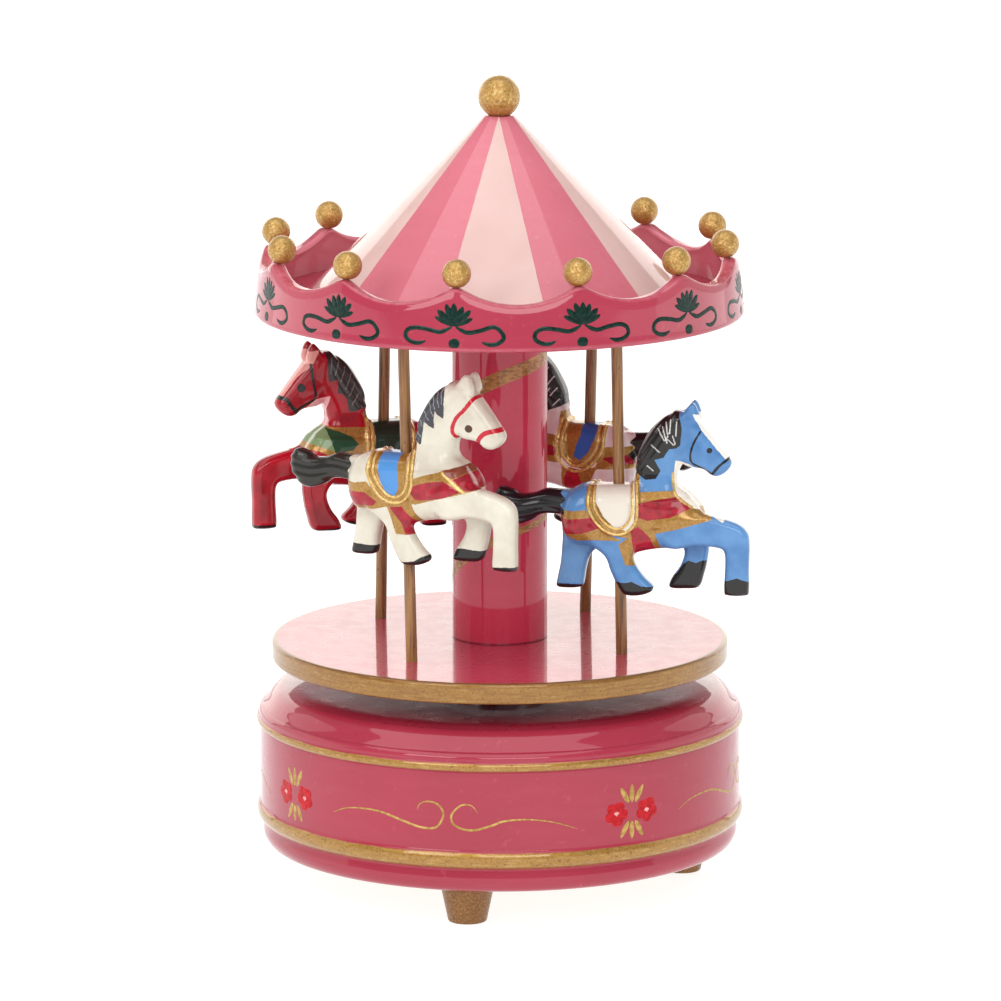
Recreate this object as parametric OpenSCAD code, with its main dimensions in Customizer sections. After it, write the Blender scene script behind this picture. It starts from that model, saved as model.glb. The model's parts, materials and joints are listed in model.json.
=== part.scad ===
// Carousel music box: a turned wooden base that holds a wind-up musical movement, and a
// carousel of platform, column, poles, horses and canopy that turns on the movement's spindle.
// Origin at the middle of the footprint, at the bottom of the feet. +Z is up, the front is -Y.
// Places on a circle are angles counted from the front (-Y) round towards the right (+X).

/* [Base] */
// Height of the feet, which is where the base begins
foot_h = 8.6; // [8:0.2:10]
// Radius of a foot at its top
foot_top_r = 5.9; // [5.4:0.1:6.4]
// Radius of a foot at the floor
foot_end_r = 4.2; // [3.6:0.1:4.6]
// Distance of the feet from the axis
foot_circle_r = 41; // [40:0.2:41.4]
// Angle of the front foot
foot_angle = -10; // [-30:5:20]
// Radius of the straight wall of the base
base_wall_r = 53.2; // [53:0.1:54]
// Height of the top of the base above the floor
base_top_z = 44.7; // [44.4:0.1:45]
// Thickness of the top of the base
base_top_t = 5; // [4.5:0.1:5]
// Radius of the bore that takes the movement
base_bore_r = 43.8; // [43.6:0.1:44.4]
// Thickness of the board that closes the bottom
board_t = 3.5; // [3:0.1:3.8]

/* [Platform and column] */
// Radius of the turning platform
platform_r = 50.5; // [48:0.5:52]
// Thickness of the platform
platform_t = 4.6; // [4.4:0.1:5.4]
// Gap between the base and the platform
platform_gap = 5.5; // [5.2:0.1:6]
// Radius of the centre column
column_r = 10.5; // [8:0.5:11]
// Visible height of the column
column_h = 72.9; // [70:0.5:80]

/* [Poles] */
// Radius of a pole
pole_r = 1.25; // [1:0.05:1.5]
// Distance of the poles from the axis, at both ends
pole_circle_r = 32.9; // [31:0.1:34]
// Angle of the first pole, in front on the left
pole_angle = -35.6; // [-45:0.2:-30]
// Turn of the canopy against the platform, which makes the poles lean
canopy_twist = -4; // [-6:0.5:0]

/* [Canopy] */
// Thickness of the canopy floor
canopy_t = 4; // [3:0.2:5]
// Outer radius of the crown ring at its lower edge
crown_r = 53.9; // [53:0.1:54]
// Height of the crown ring at its peaks
crown_h = 13.5; // [12:0.5:15]
// Depth of the scallops between the peaks
scallop_depth = 3.5; // [2:0.5:5]
// Thickness of the crown ring
crown_t = 3.2; // [2.6:0.1:3.6]
// Number of peaks, each with a ball
peaks = 12; // [8:1:12]
// Angle of the first peak
peak_angle = -10.5; // [-15:0.5:15]
// Radius of a ball on a peak
ball_r = 3.15; // [2.5:0.05:3.4]
// Distance of the balls from the axis
ball_circle_r = 50.1; // [49.8:0.1:50.6]
// Height of the tip of the roof cone above the floor, if it were sharp
roof_tip_z = 174.4; // [165:0.5:180]
// Radius of the ball on the roof
finial_r = 4.7; // [4:0.1:5.5]

/* [Horses] */
// Height of each saddle above the floor
saddle_z = [101, 92.8, 97.9, 99.5]; // [90:0.1:103]
// Direction that each horse faces, counter-clockwise from +X
horse_heading = [-26, -9, 162, 200]; // [-180:1:200]
// Thickness of a horse's trunk
horse_w = 10.4; // [9:0.2:11]

/* [Movement] */
// Height of the cylinder's axis above the floor
drum_z = 27.8; // [27.6:0.1:28]
// Radius of the cylinder
drum_r = 6.5; // [6:0.1:6.6]
// How far the pins stand out of the cylinder
pin_h = 0.8; // [0.5:0.1:0.9]
// Number of notes, which is the number of comb teeth
notes = 18; // [12:1:18]
// Distance from one comb tooth to the next
note_pitch = 0.95; // [0.9:0.01:0.95]
// Pins on each note's track
pins_per_note = 3; // [1:1:5]
// Radius of the winding spindle
spindle_r = 1.8; // [1.6:0.1:2]
// Teeth of the crown wheel on the spindle
crown_teeth = 48; // [48:4:48]
// Teeth of the cylinder's pinion
drum_pinion_teeth = 12; // [12:1:12]
// Teeth of the cylinder's wheel
drum_wheel_teeth = 36; // [36:1:36]
// Teeth of the governor's pinion
governor_pinion_teeth = 12; // [12:1:12]
// Teeth of the worm wheel, which one turn of the worm moves by one tooth
worm_wheel_teeth = 18; // [18:1:18]
// Clearance round a shaft that turns in a bearing
bearing_gap = 0.05; // [0.03:0.01:0.08]

/* [Hidden] */
$fn = 96;
eps = 0.01;
foot_count = 3;
pole_count = 4;
right_foot_shift = -12;
screw_r = 0.9;
thin_screw_r = 0.8;

platform_z = base_top_z + platform_gap;
column_z = platform_z + platform_t;
canopy_z = column_z + column_h;
canopy_floor_z = canopy_z + canopy_t;
crown_top_z = canopy_z + crown_h;
crown_taper = 1.2;
crown_inner_r = crown_r - crown_t;
floor_top_r = crown_inner_r - crown_taper * canopy_t / crown_h;
roof_cut_z = roof_tip_z - 3.2;
tenon_r = 6;
tenon_h = 3;
pole_end = 3;
finial_z = roof_cut_z + 0.87 * finial_r;

board_r = base_wall_r - 5.7;
board_z = foot_h + board_t;
bead_low_z = 16.7;
bead_low_r = 2.6;
bead_high_z = 37.1;
bead_high_r = 1.2;
bead_reach = 0.8;

ceiling_z = base_top_z - base_top_t;
bedplate_t = 2.5;
bedplate_z = ceiling_z - bedplate_t;
movement_r = base_bore_r - 0.8;

crown_mean_r = 13;
crown_face = 0.9;
crown_pitch = 2 * PI * crown_mean_r / crown_teeth;
drum_pinion_r = drum_pinion_teeth * crown_pitch / (2 * PI);
crown_pitch_z = drum_z + drum_pinion_r;
crown_addendum = 0.5;
crown_dedendum = 0.75;

spur_module = 0.45;
drum_wheel_r = drum_wheel_teeth * spur_module / 2;
governor_pinion_r = governor_pinion_teeth * spur_module / 2;
governor_y = drum_wheel_r + governor_pinion_r;
worm_module = 0.3;
worm_wheel_r = worm_wheel_teeth * worm_module / 2;
worm_r = 1.3;
worm_x = 27;
worm_y = governor_y + worm_wheel_r + worm_r;
worm_lead = PI * worm_module;
worm_addendum = 0.3;
worm_turns = 5;

drum_x = 17;
drum_l = notes * note_pitch + 0.4;
wheel_x = drum_x + drum_l + 0.8;
wheel_t = 1.2;
arbor_r = 1;
arbor_start_x = 11.7;
pivot_r = 0.6;
outer_bracket_x = 38.6;
bracket_t = 1.2;
inner_bracket_x = 15;
comb_gap = 0.15;
comb_back_y = -19.8;
comb_end_y = -25.4;
barrel_r = 10.5;
barrel_wall = 0.8;
barrel_low_z = 15.8;
barrel_top_z = 29.8;
bridge_r = 18.6;
bridge_z = 14.4;
post_r = 1.5;
post_circle_r = 16.8;
spring_turns = 7;
spring_t = 0.3;

numbered = [
    for (i = [1:foot_count]) str("foot_", i),
    for (i = [1:pole_count]) str("pole_", i),
    for (i = [1:pole_count]) str("horse_", i),
    for (i = [1:peaks]) str("ball_", i),
];

// ---- helpers ----

// A point at radius r and angle a, counted from the front towards the right
function around(r, a) = [r * sin(a), -r * cos(a)];

// The same place, carrying its children
module at(r, a) {
    translate(around(r, a)) children();
}

// A screw whose head starts at z = 0 and hangs down, with its shank going up
module screw(shank_r, shank_l, head_r, head_h) {
    translate([0, 0, -head_h]) cylinder(r = head_r, h = head_h);
    cylinder(r = shank_r, h = shank_l);
}

// The outline of a spur wheel: each tooth has a root, two flanks and a narrower tip
module spur_outline(teeth, module_mm, addendum, dedendum, thick) {
    pitch_r = teeth * module_mm / 2;
    step = 360 / teeth;
    half_tip = 0.30 * thick * step;
    half_root = 0.62 * thick * step;
    points = [
        for (i = [0:teeth - 1])
            for (p = [[-half_root, pitch_r - dedendum], [-half_tip, pitch_r + addendum],
                      [half_tip, pitch_r + addendum], [half_root, pitch_r - dedendum]])
                [p[1] * cos(i * step + p[0]), p[1] * sin(i * step + p[0])]
    ];
    polygon(points);
}

// Turns children that lie along Z so that they lie along X and start at the given place
module along_x(x, y) {
    translate([x, y, drum_z]) rotate([0, 90, 0]) children();
}

// ---- base ----

module base_section() {
    shoulder = base_top_z - bead_high_z;
    difference() {
        union() {
            polygon([
                [0, foot_h], [base_wall_r - 3.9, foot_h], [base_wall_r - 1.8, foot_h + 0.7],
                [base_wall_r - 0.6, foot_h + 2.2], [base_wall_r - 0.3, foot_h + 3.8],
                [base_wall_r - 0.9, foot_h + 5.4], [base_wall_r - 0.9, bead_low_z],
                [base_wall_r, bead_low_z], [base_wall_r, bead_high_z],
                [base_wall_r + 0.4, bead_high_z + 0.12 * shoulder],
                [base_wall_r, bead_high_z + 0.29 * shoulder],
                [base_wall_r - 1.2, bead_high_z + 0.47 * shoulder],
                [base_wall_r - 2.5, bead_high_z + 0.57 * shoulder],
                [base_wall_r - 4.8, bead_high_z + 0.95 * shoulder],
                [base_wall_r - 7, base_top_z], [0, base_top_z],
            ]);
            translate([base_wall_r + bead_reach - bead_low_r, bead_low_z]) circle(r = bead_low_r);
            translate([base_wall_r + bead_reach - bead_high_r, bead_high_z]) circle(r = bead_high_r);
        }
        square([board_r, board_z]);
        square([base_bore_r, ceiling_z]);
        square([spindle_r + 2.7, base_top_z + 1]);
    }
}

bedplate_screw_places = [[-13, -8.5], [-13, 8.5], [36, -14]];
board_screw_r = board_r - 1.9;
board_screw_angles = [50, 170, 290];

module base_shell() {
    color("#B8435C") difference() {
        rotate_extrude() base_section();
        for (a = board_screw_angles)
            at(board_screw_r, a) translate([0, 0, board_z - eps]) cylinder(r = thin_screw_r, h = 6);
        for (p = bedplate_screw_places)
            translate([p[0], p[1], ceiling_z - eps]) cylinder(r = screw_r, h = 3.4);
    }
}

module bottom_board() {
    color("#A8804A") difference() {
        translate([0, 0, foot_h]) cylinder(r = board_r, h = board_t);
        for (i = [1:foot_count])
            at(foot_circle_r, foot_place(i)) translate([0, 0, foot_h - 1])
                cylinder(r = screw_r, h = board_t + 2);
        for (a = board_screw_angles)
            at(board_screw_r, a) translate([0, 0, foot_h - 1]) cylinder(r = thin_screw_r, h = board_t + 2);
    }
}

module board_screws() {
    color("silver") for (a = board_screw_angles)
        at(board_screw_r, a) translate([0, 0, foot_h]) screw(thin_screw_r, board_t + 5.5, 1.6, 0.9);
}

function foot_place(i) = foot_angle + (i - 1) * 360 / foot_count + (i == 2 ? right_foot_shift : 0);

module foot(i) {
    color("#8A6030") at(foot_circle_r, foot_place(i)) difference() {
        rotate_extrude() polygon([
            [0, 0], [foot_end_r - 0.7, 0], [foot_end_r - 0.15, 0.4], [foot_end_r + 0.1, 1.1],
            [foot_top_r - 0.25, foot_h - 1.6], [foot_top_r, foot_h - 0.8], [foot_top_r, foot_h],
            [0, foot_h],
        ]);
        translate([0, 0, foot_h - 5]) cylinder(r = screw_r, h = 6);
    }
}

module foot_screws() {
    color("silver") for (i = [1:foot_count])
        at(foot_circle_r, foot_place(i)) translate([0, 0, board_z]) mirror([0, 0, 1])
            screw(screw_r, board_t + 4.5, 1.9, 1);
}

// ---- carousel ----

// Pole i, which leans because its upper hole is turned against its lower one
function pole_low(i) = around(pole_circle_r, pole_angle + (i - 1) * 360 / pole_count);
function pole_high(i) = around(pole_circle_r, pole_angle + canopy_twist + (i - 1) * 360 / pole_count);
function pole_foot(i) = [pole_low(i)[0], pole_low(i)[1], column_z - pole_end];
function pole_tip(i) = [pole_high(i)[0], pole_high(i)[1], canopy_z + pole_end];
function pole_at(i, z) = pole_foot(i)
    + (pole_tip(i) - pole_foot(i)) * (z - pole_foot(i)[2]) / (pole_tip(i)[2] - pole_foot(i)[2]);

module pole_solid(i) {
    run = pole_tip(i) - pole_foot(i);
    translate(pole_foot(i))
        rotate([0, acos(run[2] / norm(run)), atan2(run[1], run[0])])
            rotate([0, 0, 90]) cylinder(r = pole_r, h = norm(run));
}

module pole(i) {
    color("#A07840") pole_solid(i);
}

turn_plate_r = 12;
turn_plate_t = 1.2;
turn_screw_circle_r = 8;

module turn_screw_places() {
    for (a = [69:90:339]) at(turn_screw_circle_r, a) children();
}

module platform() {
    edge = 0.9;
    color("#D06A84") difference() {
        rotate_extrude() polygon([
            [0, platform_z], [platform_r - edge, platform_z], [platform_r - edge / 4, platform_z + edge / 4],
            [platform_r, platform_z + edge], [platform_r, column_z - edge],
            [platform_r - edge / 4, column_z - edge / 4], [platform_r - edge, column_z], [0, column_z],
        ]);
        for (i = [1:pole_count]) pole_solid(i);
        translate([0, 0, column_z - tenon_h]) cylinder(r = tenon_r, h = tenon_h + 1);
        turn_screw_places() translate([0, 0, platform_z - 1]) cylinder(r = screw_r, h = 4);
    }
}

module column() {
    color("#B8435C") union() {
        translate([0, 0, column_z]) cylinder(r = column_r, h = column_h);
        translate([0, 0, column_z - tenon_h]) cylinder(r = tenon_r, h = column_h + 2 * tenon_h);
    }
}

module turn_plate() {
    color("silver") difference() {
        union() {
            translate([0, 0, platform_z - turn_plate_t]) cylinder(r = turn_plate_r, h = turn_plate_t);
            translate([0, 0, base_top_z + 0.6]) cylinder(r = spindle_r + 2.4, h = platform_gap - 0.6);
        }
        translate([0, 0, base_top_z]) cylinder(r = spindle_r, h = platform_gap - 0.3);
        turn_screw_places() translate([0, 0, base_top_z]) cylinder(r = screw_r, h = platform_gap + 1);
    }
}

module turn_plate_screws() {
    color("#4A4440") turn_screw_places()
        translate([0, 0, platform_z - turn_plate_t]) screw(screw_r, turn_plate_t + 3, 1.9, 1.1);
}

module canopy_floor() {
    color("#C85470") difference() {
        translate([0, 0, canopy_z])
            cylinder(r1 = crown_inner_r, r2 = floor_top_r, h = canopy_t);
        for (i = [1:pole_count]) pole_solid(i);
        translate([0, 0, canopy_z - 1]) cylinder(r = tenon_r, h = tenon_h + 1);
    }
}

// One scallop: the lower part of a circle, cut off just above the peaks
module scallop_section() {
    half_chord = (crown_inner_r - crown_taper) * sin(180 / peaks) - 0.9;
    scallop_r = (pow(half_chord, 2) + pow(scallop_depth, 2)) / (2 * scallop_depth);
    translate([0, crown_top_z - scallop_depth + scallop_r]) intersection() {
        circle(r = scallop_r, $fn = 180);
        translate([-scallop_r, -scallop_r]) square([2 * scallop_r, scallop_depth + 0.4]);
    }
}

// The scallops are cut radially across the ring, and the peaks between them are left flat
module crown_ring() {
    color("#C85470") difference() {
        translate([0, 0, canopy_z]) cylinder(r1 = crown_r, r2 = crown_r - crown_taper, h = crown_h);
        translate([0, 0, canopy_z - eps])
            cylinder(r1 = crown_inner_r, r2 = crown_inner_r - crown_taper, h = crown_h + 2 * eps);
        for (i = [0:peaks - 1])
            rotate([0, 0, peak_angle + (i + 0.5) * 360 / peaks])
                translate([0, -crown_inner_r + 6, 0]) rotate([90, 0, 0])
                    linear_extrude(12) scallop_section();
    }
}

module ball(i) {
    color("#C09A50") difference() {
        at(ball_circle_r, peak_angle + (i - 1) * 360 / peaks)
            translate([0, 0, crown_top_z + 0.92 * ball_r]) sphere(r = ball_r);
        translate([0, 0, crown_top_z - 2 * ball_r]) cylinder(r = crown_r + 5, h = 2 * ball_r);
    }
}

module roof_cone() {
    roof_h = roof_tip_z - canopy_floor_z;
    cut_h = roof_cut_z - canopy_floor_z;
    wall = 5;
    pin_hole_h = 8;
    color("#E0808F") difference() {
        translate([0, 0, canopy_floor_z]) cylinder(r1 = roof_h, r2 = roof_h - cut_h, h = cut_h);
        translate([0, 0, canopy_floor_z - eps])
            cylinder(r1 = roof_h - wall, r2 = roof_h - 0.6 * cut_h - wall, h = 0.6 * cut_h);
        translate([0, 0, roof_cut_z - pin_hole_h]) cylinder(r = finial_pin_r, h = pin_hole_h + 1);
    }
}

finial_pin_r = 1.1;

module finial() {
    color("#C09A50") union() {
        difference() {
            translate([0, 0, finial_z]) sphere(r = finial_r);
            translate([0, 0, roof_cut_z - 2 * finial_r]) cylinder(r = 2 * finial_r, h = 2 * finial_r);
        }
        translate([0, 0, roof_cut_z - 6]) cylinder(r = finial_pin_r, h = 8);
    }
}

// ---- horses ----
// The side view has x forward and y up, with its origin on the saddle at the pole

module slab(y_from, y_to) {
    translate([0, y_to, 0]) rotate([90, 0, 0]) linear_extrude(y_to - y_from) children();
}

module trunk_outline() {
    polygon([
        [-10.3, -3], [-8.6, -0.9], [-6, 0], [3, 0], [6, 1.5], [13.5, 0.5], [16.6, -2.4], [18.3, -6.4],
        [17.4, -11], [13, -13.6], [3.5, -15.1], [-5.4, -15.1], [-10.6, -12.6], [-11.6, -7.5],
    ]);
}

module neck_outline() {
    polygon([
        [3.6, 0], [5.2, 7.5], [8.1, 13], [12.3, 16], [14.6, 16.4], [16.7, 18.1], [18, 14.2],
        [24.4, 6.2], [24.8, 4.2], [21.6, 1.2], [17.1, 4.5], [14.4, 4], [13.2, 1], [14.5, -3],
    ]);
}

module stretched_foreleg() {
    polygon([
        [10, -6], [18.3, -5.8], [27, -7.6], [29, -9.4], [29.5, -12], [29.7, -22.4], [29.1, -23.1],
        [24.8, -23.1], [24.4, -14.2], [23, -12.9], [10, -13],
    ]);
}

module bent_foreleg() {
    polygon([
        [14, -10], [19.6, -10], [19.8, -15.4], [17.8, -23.3], [11.6, -23.1], [13.6, -18.6], [14.7, -15],
    ]);
}

module forward_hindleg() {
    polygon([
        [-4, -11], [3.4, -13], [4.7, -17.4], [8.3, -21.8], [7.8, -23.7], [2.4, -23.7], [0.6, -21.6],
    ]);
}

module backward_hindleg() {
    polygon([
        [-11.6, -9], [-4, -11], [-6, -15.6], [-7.4, -19.4], [-8, -23.8], [-13.5, -23.8], [-12.8, -18.6],
    ]);
}

module tail_outline() {
    polygon([
        [-9, -1.6], [-14, -1], [-20, -0.6], [-26.2, -1.4], [-26.7, -3.6], [-23, -6.6], [-20.4, -9.4],
        [-17, -7.6], [-9, -6.6],
    ]);
}

module horse_body() {
    outer = horse_w / 2;
    inner = 1.6;
    neck = 3.6;
    tail = 2.2;
    slab(-outer, outer) trunk_outline();
    slab(-neck, neck) neck_outline();
    slab(-tail, tail) tail_outline();
    slab(-outer, -inner) stretched_foreleg();
    slab(-outer, -inner) forward_hindleg();
    slab(inner, outer) bent_foreleg();
    slab(inner, outer) backward_hindleg();
}

horse_colors = ["ivory", "#5F90C8", "ivory", "#B8182C"];

module horse(i) {
    color(horse_colors[i - 1]) difference() {
        translate(pole_at(i, saddle_z[i - 1])) rotate([0, 0, horse_heading[i - 1]]) horse_body();
        pole_solid(i);
    }
}

// ---- movement: frame ----

module bedplate() {
    color("#B0A890") difference() {
        translate([0, 0, bedplate_z]) linear_extrude(bedplate_t) intersection() {
            translate([-19, -27]) square([62, 50]);
            circle(r = movement_r);
        }
        translate([0, 0, bedplate_z - 1]) cylinder(r = spindle_r + 1.4, h = bedplate_t + 2);
        for (p = bedplate_screw_places)
            translate([p[0], p[1], bedplate_z - 1]) cylinder(r = screw_r, h = bedplate_t + 2);
    }
}

module bedplate_screws() {
    color("silver") for (p = bedplate_screw_places)
        translate([p[0], p[1], bedplate_z]) screw(screw_r, bedplate_t + 3, 1.8, 1);
}

module spindle_bush() {
    color("#C8A860") translate([0, 0, bedplate_z]) difference() {
        cylinder(r = spindle_r + 1.4, h = bedplate_t + 4);
        translate([0, 0, -1]) cylinder(r = spindle_r + bearing_gap, h = bedplate_t + 6);
    }
}

module spindle() {
    color("silver") translate([0, 0, bridge_z + 0.2])
        cylinder(r = spindle_r, h = platform_z - 0.3 - bridge_z - 0.2);
}

// A contrate wheel: its teeth are blades that hang from the rim
module crown_wheel() {
    disc_t = 1.6;
    root_z = crown_pitch_z + crown_dedendum;
    blade = 0.34 * crown_pitch;
    color("#C8A860") difference() {
        union() {
            translate([0, 0, root_z]) cylinder(r = crown_mean_r + crown_face, h = disc_t);
            translate([0, 0, root_z]) cylinder(r = spindle_r + 2.4, h = bedplate_z - root_z - 0.3);
            for (i = [0:crown_teeth - 1])
                rotate([0, 0, (i + 0.5) * 360 / crown_teeth])
                    translate([crown_mean_r - crown_face, -blade / 2, crown_pitch_z - crown_addendum])
                        cube([2 * crown_face - 0.1, blade, crown_addendum + crown_dedendum + 0.2]);
        }
        translate([0, 0, root_z - 5]) cylinder(r = spindle_r, h = 20);
    }
}

module spring_barrel() {
    color("#C8C4B8") translate([0, 0, barrel_low_z]) difference() {
        cylinder(r = barrel_r, h = barrel_top_z - barrel_low_z);
        translate([0, 0, barrel_wall])
            cylinder(r = barrel_r - barrel_wall, h = barrel_top_z - barrel_low_z);
        translate([0, 0, -1]) cylinder(r = spindle_r + 0.4, h = 3);
    }
}

module barrel_lid() {
    color("#C8C4B8") translate([0, 0, barrel_top_z - barrel_wall]) difference() {
        cylinder(r = barrel_r - barrel_wall, h = barrel_wall);
        translate([0, 0, -1]) cylinder(r = spindle_r + 0.4, h = 3);
    }
}

// A flat spiral spring, drawn as a band between two spirals
module mainspring() {
    first_r = spindle_r + 0.5;
    last_r = barrel_r - barrel_wall - spring_t;
    steps = spring_turns * 20;
    inside = [
        for (i = [0:steps])
            let (r = first_r + (last_r - first_r) * i / steps, a = 360 * spring_turns * i / steps)
                [r * cos(a), r * sin(a)]
    ];
    outside = [
        for (i = [steps:-1:0])
            let (r = first_r + (last_r - first_r) * i / steps + spring_t, a = 360 * spring_turns * i / steps)
                [r * cos(a), r * sin(a)]
    ];
    color("#707880") translate([0, 0, barrel_low_z + barrel_wall + 0.4])
        linear_extrude(barrel_top_z - barrel_low_z - 2 * barrel_wall - 0.8)
            polygon(concat(inside, outside));
}

module post_places() {
    for (a = [20, 160, 270]) at(post_circle_r, a) children();
}

module barrel_bridge() {
    color("#B0A890") translate([0, 0, bridge_z]) difference() {
        cylinder(r = bridge_r, h = barrel_low_z - bridge_z);
        translate([0, 0, -1]) cylinder(r = spindle_r + bearing_gap, h = 4);
        post_places() translate([0, 0, -1]) cylinder(r = thin_screw_r, h = 4);
    }
}

module bridge_posts() {
    color("#C8A860") post_places() translate([0, 0, barrel_low_z]) difference() {
        cylinder(r = post_r, h = bedplate_z - barrel_low_z);
        translate([0, 0, -1]) cylinder(r = thin_screw_r, h = 6);
    }
}

module bridge_screws() {
    color("silver") post_places() translate([0, 0, bridge_z])
        screw(thin_screw_r, barrel_low_z - bridge_z + 4, 1.5, 0.9);
}

// ---- movement: cylinder and comb ----

module inner_bracket() {
    low_z = drum_z - 3.5;
    color("#B0A890") difference() {
        translate([inner_bracket_x, -3.5, low_z]) cube([bracket_t, 7, bedplate_z - low_z]);
        along_x(inner_bracket_x - 1, 0) cylinder(r = arbor_r + bearing_gap, h = bracket_t + 2);
    }
}

module outer_bracket() {
    low_z = drum_z - 3.5;
    color("#B0A890") difference() {
        translate([outer_bracket_x, -3.5, low_z]) cube([bracket_t, governor_y + 6, bedplate_z - low_z]);
        along_x(outer_bracket_x - 1, 0) cylinder(r = arbor_r + bearing_gap, h = bracket_t + 2);
        along_x(outer_bracket_x - 1, governor_y) cylinder(r = pivot_r + bearing_gap, h = bracket_t + 2);
    }
}

module cylinder_arbor() {
    pinion_l = 1.4;
    color("silver") union() {
        along_x(arbor_start_x, 0) cylinder(r = arbor_r, h = outer_bracket_x + bracket_t - arbor_start_x);
        along_x(crown_mean_r - pinion_l / 2, 0) linear_extrude(pinion_l)
            rotate(180) spur_outline(drum_pinion_teeth, 2 * drum_pinion_r / drum_pinion_teeth,
                                     crown_addendum - 0.05, crown_dedendum, 0.34);
    }
}

module cylinder_drum() {
    color("#C8A860") along_x(drum_x, 0) difference() {
        cylinder(r = drum_r, h = drum_l);
        translate([0, 0, -1]) cylinder(r = arbor_r, h = drum_l + 2);
    }
}

module cylinder_pins() {
    pin_r = 0.25;
    golden_angle = 137.5;
    color("#D8D4C8") for (i = [0:notes - 1])
        for (j = [0:pins_per_note - 1])
            along_x(drum_x + note_pitch * (i + 0.5) + 0.2, 0)
                rotate([0, 90, golden_angle * i + j * 360 / pins_per_note])
                    translate([0, 0, drum_r]) cylinder(r = pin_r, h = pin_h, $fn = 24);
}

module cylinder_wheel() {
    color("#C8A860") along_x(wheel_x, 0) difference() {
        linear_extrude(wheel_t)
            spur_outline(drum_wheel_teeth, spur_module, 0.75 * spur_module, spur_module, 0.42);
        translate([0, 0, -1]) cylinder(r = arbor_r, h = wheel_t + 2);
    }
}

module comb_screw_places() {
    for (k = [0.2, 0.8])
        translate([drum_x + k * drum_l, (comb_back_y + comb_end_y) / 2 - 0.3]) children();
}

comb_t = 1;

module comb_block() {
    low_z = drum_z + comb_t / 2;
    color("#B0A890") difference() {
        translate([drum_x, comb_end_y, low_z]) cube([drum_l, 4.6, bedplate_z - low_z]);
        comb_screw_places() translate([0, 0, low_z - 1]) cylinder(r = screw_r, h = 6.5);
    }
}

// One tooth for each note, and the teeth get shorter towards the treble end
module comb() {
    tooth_w = 0.62 * note_pitch;
    tooth_t = 0.5;
    tip_y = -(drum_r + pin_h + comb_gap);
    color("#C0C4C8") difference() {
        union() {
            translate([drum_x, comb_end_y, drum_z - comb_t / 2])
                cube([drum_l, comb_back_y - comb_end_y, comb_t]);
            for (i = [0:notes - 1])
                translate([drum_x + 0.2 + note_pitch * (i + 0.5) - tooth_w / 2, comb_back_y - 1,
                           drum_z - tooth_t / 2])
                    cube([tooth_w, tip_y - comb_back_y + 1, tooth_t]);
        }
        comb_screw_places() translate([0, 0, drum_z - 5]) cylinder(r = screw_r, h = 10);
    }
}

module comb_screws() {
    color("silver") comb_screw_places()
        translate([0, 0, drum_z - comb_t / 2]) screw(screw_r, comb_t + 4.5, 1.7, 1);
}

// ---- movement: governor ----

fly_low_z = 15.2;
fly_h = 6.6;
fly_r = 4.8;
cock_z = 13;

module governor_bracket() {
    foot_t = 1;
    arm_t = 1.2;
    arm_w = 3;
    back_y = worm_y + fly_r + 1.2;
    near_y = governor_y - 2.4;
    plate_x = worm_x - 4;
    low_z = drum_z - 2.5;
    color("#C8A860") difference() {
        union() {
            translate([plate_x, near_y, bedplate_z - foot_t])
                cube([worm_x + arm_w / 2 - plate_x, back_y + arm_t - near_y, foot_t]);
            translate([plate_x, near_y, low_z]) cube([bracket_t, 4.8, bedplate_z - low_z]);
            translate([worm_x - arm_w / 2, back_y, cock_z]) cube([arm_w, arm_t, bedplate_z - cock_z]);
            translate([worm_x - arm_w / 2, worm_y - 1.5, cock_z])
                cube([arm_w, back_y + arm_t - worm_y + 1.5, arm_t]);
        }
        translate([worm_x, worm_y, cock_z - 1]) cylinder(r = pivot_r + bearing_gap, h = 4);
        translate([worm_x, worm_y, bedplate_z - foot_t - 1])
            cylinder(r = pivot_r + bearing_gap, h = foot_t + 2);
        along_x(plate_x - 1, governor_y) cylinder(r = pivot_r + bearing_gap, h = bracket_t + 2);
    }
}

module governor_arbor() {
    start_x = worm_x - 3.8;
    color("silver") union() {
        along_x(start_x, governor_y) cylinder(r = pivot_r, h = outer_bracket_x + bracket_t - start_x);
        along_x(wheel_x - 0.1, governor_y) linear_extrude(wheel_t + 0.2)
            rotate(180 / governor_pinion_teeth) spur_outline(governor_pinion_teeth, spur_module,
                0.75 * spur_module, spur_module, 0.42);
    }
}

module worm_wheel() {
    face = 1;
    color("#C8A860") along_x(worm_x - face / 2, governor_y) difference() {
        linear_extrude(face)
            rotate(90) spur_outline(worm_wheel_teeth, worm_module, 0.8 * worm_addendum,
                                    worm_addendum + 0.1, 0.3);
        translate([0, 0, -1]) cylinder(r = pivot_r, h = face + 2);
    }
}

// The section that, twisted along Z, sweeps one thread round the core
module worm_section() {
    core_r = worm_r - worm_addendum;
    tip_r = worm_r + worm_addendum;
    root_half = 75;
    tip_half = 45;
    points = [
        for (a = [root_half:30:360 - root_half]) [core_r * cos(a), core_r * sin(a)],
        for (a = [-tip_half:15:tip_half]) [tip_r * cos(a), tip_r * sin(a)],
    ];
    polygon(points);
}

module worm() {
    worm_l = worm_turns * worm_lead;
    color("silver") union() {
        translate([worm_x, worm_y, cock_z + 0.2]) cylinder(r = pivot_r, h = bedplate_z - cock_z - 0.5);
        translate([worm_x, worm_y, drum_z - worm_l / 2]) rotate(-90)
            linear_extrude(worm_l, twist = -360 * worm_turns, slices = 16 * worm_turns, $fn = 16)
                worm_section();
    }
}

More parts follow.
